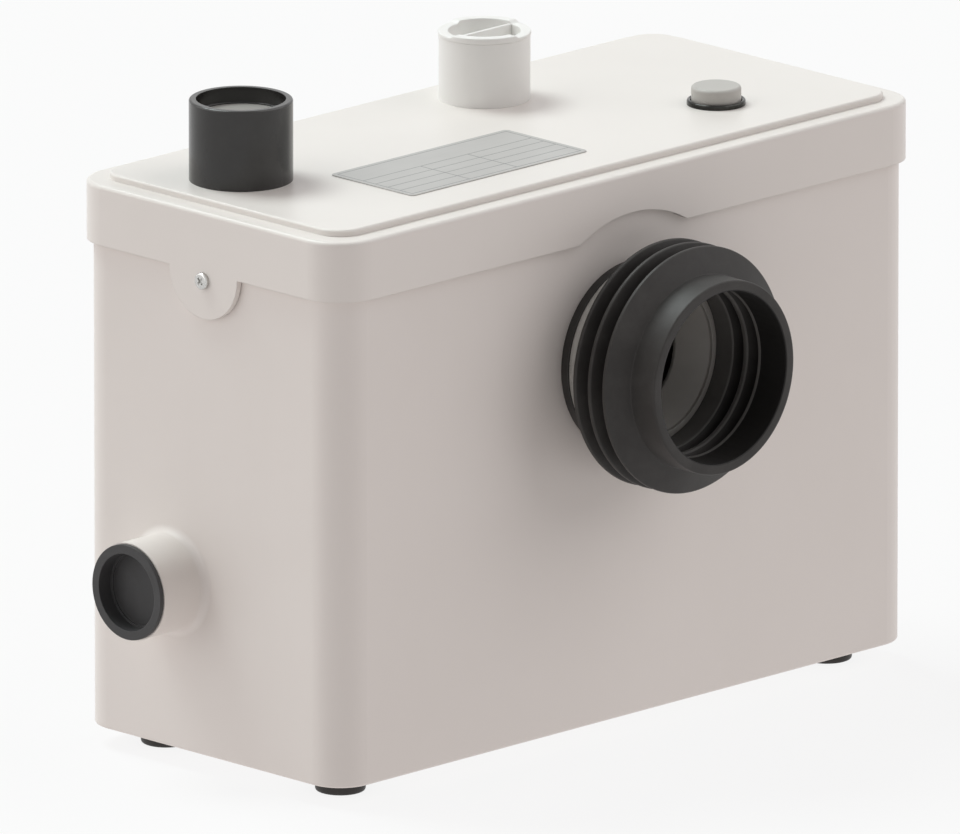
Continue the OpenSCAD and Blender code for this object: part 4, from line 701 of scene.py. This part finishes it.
# vent cap: rounded flange with two raised lips, a deep finger recess and the bar across it
cap = {"flangeOut": 22.2, "bodyOut": 18.7, "recess": 17.2, "flange": 1.4, "settle": 0.22, "lip": 1.3,
       "depth": 10.0, "floor": 1.5, "groove": 16.5, "lipFade": 7, "lipFoot": 0.4, "bar": 2.0, "barRise": 0.6,
       "barInset": 0.5, "barEdge": 0.35, "lipInset": 0.2, "sides": 144}
neck, low, high = middle("vent_cap")
capTop, capFoot = high.z / mm - cap["lip"], low.z / mm
capSeat, capFloor = capTop - cap["flange"] - cap["settle"], capTop - cap["depth"]


def lipShare(angle):
    # 1 on the two raised quarters, fading to 0 beside them
    round180 = math.degrees(angle) % 180
    inside = min(round180, 90 - round180) if round180 < 90 else max(90 - round180, round180 - 180)
    t = min(max(inside / cap["lipFade"] + 0.5, 0), 1)
    return t * t * (3 - 2 * t)


def onNeck(radius, angle, height):
    rise = min(max(height / mm - capSeat - cap["lipFoot"], 0) / (cap["flange"] - cap["lipFoot"]), 1)
    outside = radius > (cap["recess"] - cap["lipInset"]) * mm
    lift = rise * cap["lip"] * lipShare(angle) * mm if outside else 0
    return (neck.x + radius * math.cos(angle), neck.y + radius * math.sin(angle), height + lift)


def acrossCap(local):
    return Vector((neck.x, neck.y, capTop * mm)) + Vector(local) * mm


grooveLow, grooveHigh = capFoot + cap["floor"], capFloor - cap["floor"]
outline = roundCorners([(core, capFoot, 0), (cap["bodyOut"], capFoot, 0.5), (cap["bodyOut"], grooveLow, 0.2),
                        (cap["groove"], grooveLow, 0.3), (cap["groove"], grooveHigh, 0.3),
                        (cap["bodyOut"], grooveHigh, 0.2), (cap["bodyOut"], capSeat, 0.2),
                        (cap["flangeOut"], capSeat, 0.45), (cap["flangeOut"], capTop, 0.6),
                        (cap["recess"], capTop, 0.5), (cap["recess"], capFloor, 0.8),
                        (core, capFloor, 0)], steps=5)
bm = bmesh.new()
spin(bm, outline, cap["sides"], onNeck)
barHeight = cap["depth"] + cap["barRise"]
block(bm, (2 * (cap["recess"] + cap["barInset"]), cap["bar"], barHeight),
      lambda p: acrossCap((p[0], p[1], p[2] - barHeight / 2)), cap["barEdge"])
fit(meshPiece("ventCap", bm), "neckPlastic", "cap", "lid_plastic", "vent_cap")

# charcoal filter: a pressed disc with an uneven granular face
pad = {"edge": 1.6, "clear": 0.4, "lump": 0.35, "lumpScale": 420, "seed": 5, "sides": 96, "rings": 14}
lumps.seed_set(pad["seed"])
neck, low, high = middle("vent_filter")
padR = (high.x - low.x) / 2 / mm - pad["clear"]
padLow, padHigh = low.z / mm + pad["clear"], high.z / mm - pad["clear"]


def inNeck(radius, angle, height):
    point = Vector((neck.x + radius * math.cos(angle), neck.y + radius * math.sin(angle), height))
    return point + lumps.noise_vector(point * pad["lumpScale"]) * pad["lump"] * mm


spread = [(padR - pad["edge"]) * i / pad["rings"] + core for i in range(pad["rings"])]
rounded = roundCorners([(0, padLow, 0), (padR, padLow, pad["edge"]), (padR, padHigh, pad["edge"]),
                        (0, padHigh, 0)], steps=5)
outline = [Vector((r, padLow)) for r in spread] + rounded[1:-1] + [Vector((r, padHigh)) for r in spread[::-1]]
bm = bmesh.new()
spin(bm, outline, pad["sides"], inNeck)
fit(meshPiece("ventFilter", bm), "charcoalFoam", "tank_body", "charcoal", "vent_filter")
print("inlet sleeve, clamp, vent cap and filter made")

# button spring: round wire with closed ends
coil = {"wire": 0.5, "turns": 6, "closed": 0.16, "closedRise": 0.05, "steps": 36, "sides": 10, "travel": 3.5}
stem, low, high = middle("button_spring")
coilR = (high.x - low.x) / 2 - coil["wire"] * mm
foot, head = low.z + coil["wire"] * mm, high.z - coil["wire"] * mm


def coilRise(t):
    # the end turns lie almost flat
    edge, rise = coil["closed"], coil["closedRise"]
    if t < edge:
        return rise * t / edge
    if t > 1 - edge:
        return 1 - rise * (1 - t) / edge
    return rise + (1 - 2 * rise) * (t - edge) / (1 - 2 * edge)


count = coil["turns"] * coil["steps"]
path = []
for i in range(count + 1):
    angle = 2 * math.pi * i / coil["steps"]
    path.append(Vector((stem.x + coilR * math.cos(angle), stem.y + coilR * math.sin(angle),
                        foot + (head - foot) * coilRise(i / count))))
bm = bmesh.new()
sweep(bm, path, coil["wire"] * mm, coil["sides"])
spring = fit(meshPiece("buttonSpring", bm), "screwSteel", "tank_body", "steel", "button_spring")
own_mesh(spring)

# winding heads: laced bundles of enamelled wire at both ends of the core
winding = {"length": 13.0, "thick": 16.0, "round": 5.0, "strands": 36, "twist": 3, "swell": 0.55,
           "sides": 288}
axle, low, high = middle("stator_windings")
swell = winding["swell"]
outer, inner = (high.y - low.y) / 2 / mm - swell, (high.y - low.y) / 2 / mm - winding["thick"] + swell


def woundAbout(centre):
    def place(radius, angle, along):
        out = Vector((radius / mm, along / mm)) - centre
        lay = winding["strands"] * angle / 2 + winding["twist"] * math.atan2(out.y, out.x)
        wave = abs(math.sin(lay)) * 2 - 1
        point = (centre + out.normalized() * (out.length + swell * wave)) * mm
        return (point.y, axle.y + point.x * math.cos(angle), axle.z + point.x * math.sin(angle))
    return place


bm = bmesh.new()
for start in (low.x / mm, high.x / mm - winding["length"]):
    first, last = start + swell, start + winding["length"] - swell
    outline = roundCorners([(inner, first, winding["round"]), (outer, first, winding["round"]),
                            (outer, last, winding["round"]), (inner, last, winding["round"])], steps=8)
    spin(bm, outline, winding["sides"], woundAbout(Vector(((outer + inner) / 2, (first + last) / 2))))
fit(meshPiece("windingHeads", bm, smoothBelow=80), "copperStrands", "tank_body", "copper_wire",
    "stator_windings")

# cable gland: plain stem, hexagon and a fluted dome nut with a shallow seat at its nose
gland = {"bore": 3.8, "stem": 8.0, "hexFlat": 12.0, "hexLength": 5.0, "domeOut": 10.4, "domeEnd": 20.0,
         "nose": 8.0, "flutes": 18, "fluteDepth": 0.55, "inner": 10.5, "lap": 0.3, "bend": 14.5,
         "seatOut": 6.2, "seatIn": 5.8, "seatDepth": 1.4, "insertDepth": 1.6, "hexFrom": 8.5,
         "sides": 216}
entry, backY = middle("cable_gland")[0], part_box("cable_gland")[1].y - gland["domeEnd"] * mm


def fromBack(shape):
    def place(radius, angle, out):
        grown = radius * shape(angle, radius / mm)
        return (entry.x + grown * math.cos(angle), backY + out, entry.z + grown * math.sin(angle))
    return place


def roundShape(angle, radius):
    return 1


def hexShape(angle, radius):
    if radius < gland["hexFrom"]:
        return 1
    return 1 / math.cos((angle + math.pi / 6) % (math.pi / 3) - math.pi / 6)


def fluteShape(angle, radius):
    share = min(max((radius - gland["stem"]) / (gland["domeOut"] - gland["stem"]), 0), 1)
    flute = (0.5 + 0.5 * math.cos(gland["flutes"] * angle)) ** 2
    return 1 - share * gland["fluteDepth"] / gland["domeOut"] * flute


bm = bmesh.new()
bore, stemOut, domeOut, lap = gland["bore"], gland["stem"], gland["domeOut"], gland["lap"]
inner, hexEnd, domeEnd = -gland["inner"], gland["hexLength"], gland["domeEnd"]
stemOutline = [(bore, inner, 0.2), (stemOut, inner, 0.4), (stemOut, lap / 3, 0), (bore, lap / 3, 0)]
hexOutline = [(bore, 0, 0), (gland["hexFlat"], 0, 0.5), (gland["hexFlat"], hexEnd, 0.7), (bore, hexEnd, 0)]
domeOutline = [(bore, hexEnd - lap, 0), (domeOut, hexEnd + lap * 2 / 3, 0.6), (domeOut, gland["bend"], 2.5),
               (gland["nose"], domeEnd, 1.4), (gland["seatOut"], domeEnd, 0.5),
               (gland["seatIn"], domeEnd - gland["seatDepth"], 0.3),
               (bore, domeEnd - gland["insertDepth"], 0.3)]
for points, shape in ((stemOutline, roundShape), (hexOutline, hexShape), (domeOutline, fluteShape)):
    spin(bm, roundCorners(points, steps=4), gland["sides"], fromBack(shape))
fit(meshPiece("cableGland", bm), "darkPlastic", "tank_body", "dark_plastic", "cable_gland")

# feet: moulded rubber pads with a soft lower edge and a hollow underneath
footPad = {"radius": 12.0, "edge": 1.6, "hollow": 7.0, "hollowDepth": 1.2, "hollowSlope": 0.8, "sides": 72}
low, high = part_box("rubber_feet")
reach, footTop = footPad["radius"] * mm, high.z / mm
outline = roundCorners([(core, footPad["hollowDepth"], 0), (footPad["hollow"], footPad["hollowDepth"], 0.5),
                        (footPad["hollow"] + footPad["hollowSlope"], 0, 0.4),
                        (footPad["radius"], 0, footPad["edge"]), (footPad["radius"], footTop, 0.2),
                        (core, footTop, 0)], steps=5)


def atCorner(x, y):
    return lambda radius, angle, up: (x + radius * math.cos(angle), y + radius * math.sin(angle), up)


bm = bmesh.new()
for cornerX in (low.x + reach, high.x - reach):
    for cornerY in (low.y + reach, high.y - reach):
        spin(bm, outline, footPad["sides"], atCorner(cornerX, cornerY))
fit(meshPiece("rubberFeet", bm), "sleeveRubber", "tank_body", "black_rubber", "rubber_feet")
print("spring, windings, gland and feet made")

# camera: a long lens from the left front, a little above the part
view = {"azimuth": -44.895, "elevation": 15.2358, "distance": 17.6687,
        "target": (0.015191, 0.036823, 0.135140), "lens": 1400, "sensor": 36, "clip": (1, 100)}
azimuth, elevation = math.radians(view["azimuth"]), math.radians(view["elevation"])
level = math.cos(elevation)
away = Vector((math.sin(azimuth) * level, -math.cos(azimuth) * level, math.sin(elevation)))
camera = bpy.data.objects.new("camera", bpy.data.cameras.new("camera"))
camera.data.lens, camera.data.sensor_width = view["lens"], view["sensor"]
camera.data.clip_start, camera.data.clip_end = view["clip"]
camera.location = Vector(view["target"]) + away * view["distance"]
camera.rotation_euler = (-away).to_track_quat("-Z", "Y").to_euler()
bpy.context.scene.collection.objects.link(camera)
bpy.context.scene.camera = camera

# studio: wide soft lamps from the left, the right front and high behind, over a white paper floor
studio = {
    "skyColour": (1.0, 0.96, 0.955), "skyStrength": 0.22, "white": (0.968, 0.968, 0.968),
    "bounceColour": (0.75, 0.706, 0.692), "paperColour": (0.9, 0.9, 0.9), "shadowShare": 0.11,
    "floorSize": 8.0,
    "lamps": {
        "leftLamp": {"from": (-0.85, 0.62, 0.50), "strength": 1.02, "angle": 70,
                     "colour": (1.0, 0.985, 0.97)},
        "rightLamp": {"from": (0.75, -0.75, 0.9), "strength": 0.93, "angle": 60,
                      "colour": (1.0, 0.965, 0.96)},
        "topLamp": {"from": (-0.06, 0.60, 1.0), "strength": 1.84, "angle": 28,
                    "colour": (0.91, 1.0, 0.995)},
    },
}


def seenRays(tree):
    # 1 for what is seen straight, in a mirror or through glass
    seen = Wire.add(tree, "LightPath", {}, {}, "Is Camera Ray")
    for other in ("Is Glossy Ray", "Is Transmission Ray"):
        seen = larger(seen, Wire.add(tree, "LightPath", {}, {}, other))
    return seen


def studioWorld(s):
    world = bpy.data.worlds.new("studio")
    bpy.context.scene.world = world
    world.use_nodes = True
    tree = world.node_tree
    tree.nodes.clear()
    sky = Wire.add(tree, "Background", {}, {"Color": rgb(s["skyColour"]), "Strength": s["skyStrength"]})
    white = Wire.add(tree, "Background", {}, {"Color": rgb(s["white"]), "Strength": 1.0})
    mixed = Wire.add(tree, "MixShader", {}, {0: seenRays(tree), 1: sky, 2: white})
    Wire.add(tree, "OutputWorld", {}, {"Surface": mixed})


def studioFloor(s):
    bm = bmesh.new()
    bmesh.ops.create_grid(bm, x_segments=8, y_segments=8, size=s["floorSize"])
    floor = meshPiece("floor", bm)
    material = bpy.data.materials.new("floorPaper")
    material.use_nodes = True
    tree = material.node_tree
    tree.nodes.clear()
    bounce = Wire.add(tree, "Emission", {}, {"Color": rgb(s["bounceColour"]), "Strength": 1.0})
    paper = Wire.add(tree, "BsdfDiffuse", {}, {"Color": rgb(s["paperColour"])})
    white = Wire.add(tree, "Emission", {}, {"Color": rgb(s["white"]), "Strength": 1.0})
    shown = Wire.add(tree, "MixShader", {}, {0: s["shadowShare"], 1: white, 2: paper})
    mixed = Wire.add(tree, "MixShader", {}, {0: seenRays(tree), 1: bounce, 2: shown})
    Wire.add(tree, "OutputMaterial", {}, {"Surface": mixed})
    floor.data.materials.append(material)


def studioLamps(lamps):
    for name, lamp in lamps.items():
        light = bpy.data.lights.new(name, "SUN")
        light.energy, light.angle, light.color = lamp["strength"], math.radians(lamp["angle"]), lamp["colour"]
        held = bpy.data.objects.new(name, light)
        held.rotation_euler = (-Vector(lamp["from"])).to_track_quat("-Z", "Y").to_euler()
        bpy.context.scene.collection.objects.link(held)


studioWorld(studio)
studioFloor(studio)
studioLamps(studio["lamps"])
bpy.context.scene.view_settings.view_transform = "Standard"
print("camera, lamps and floor set")
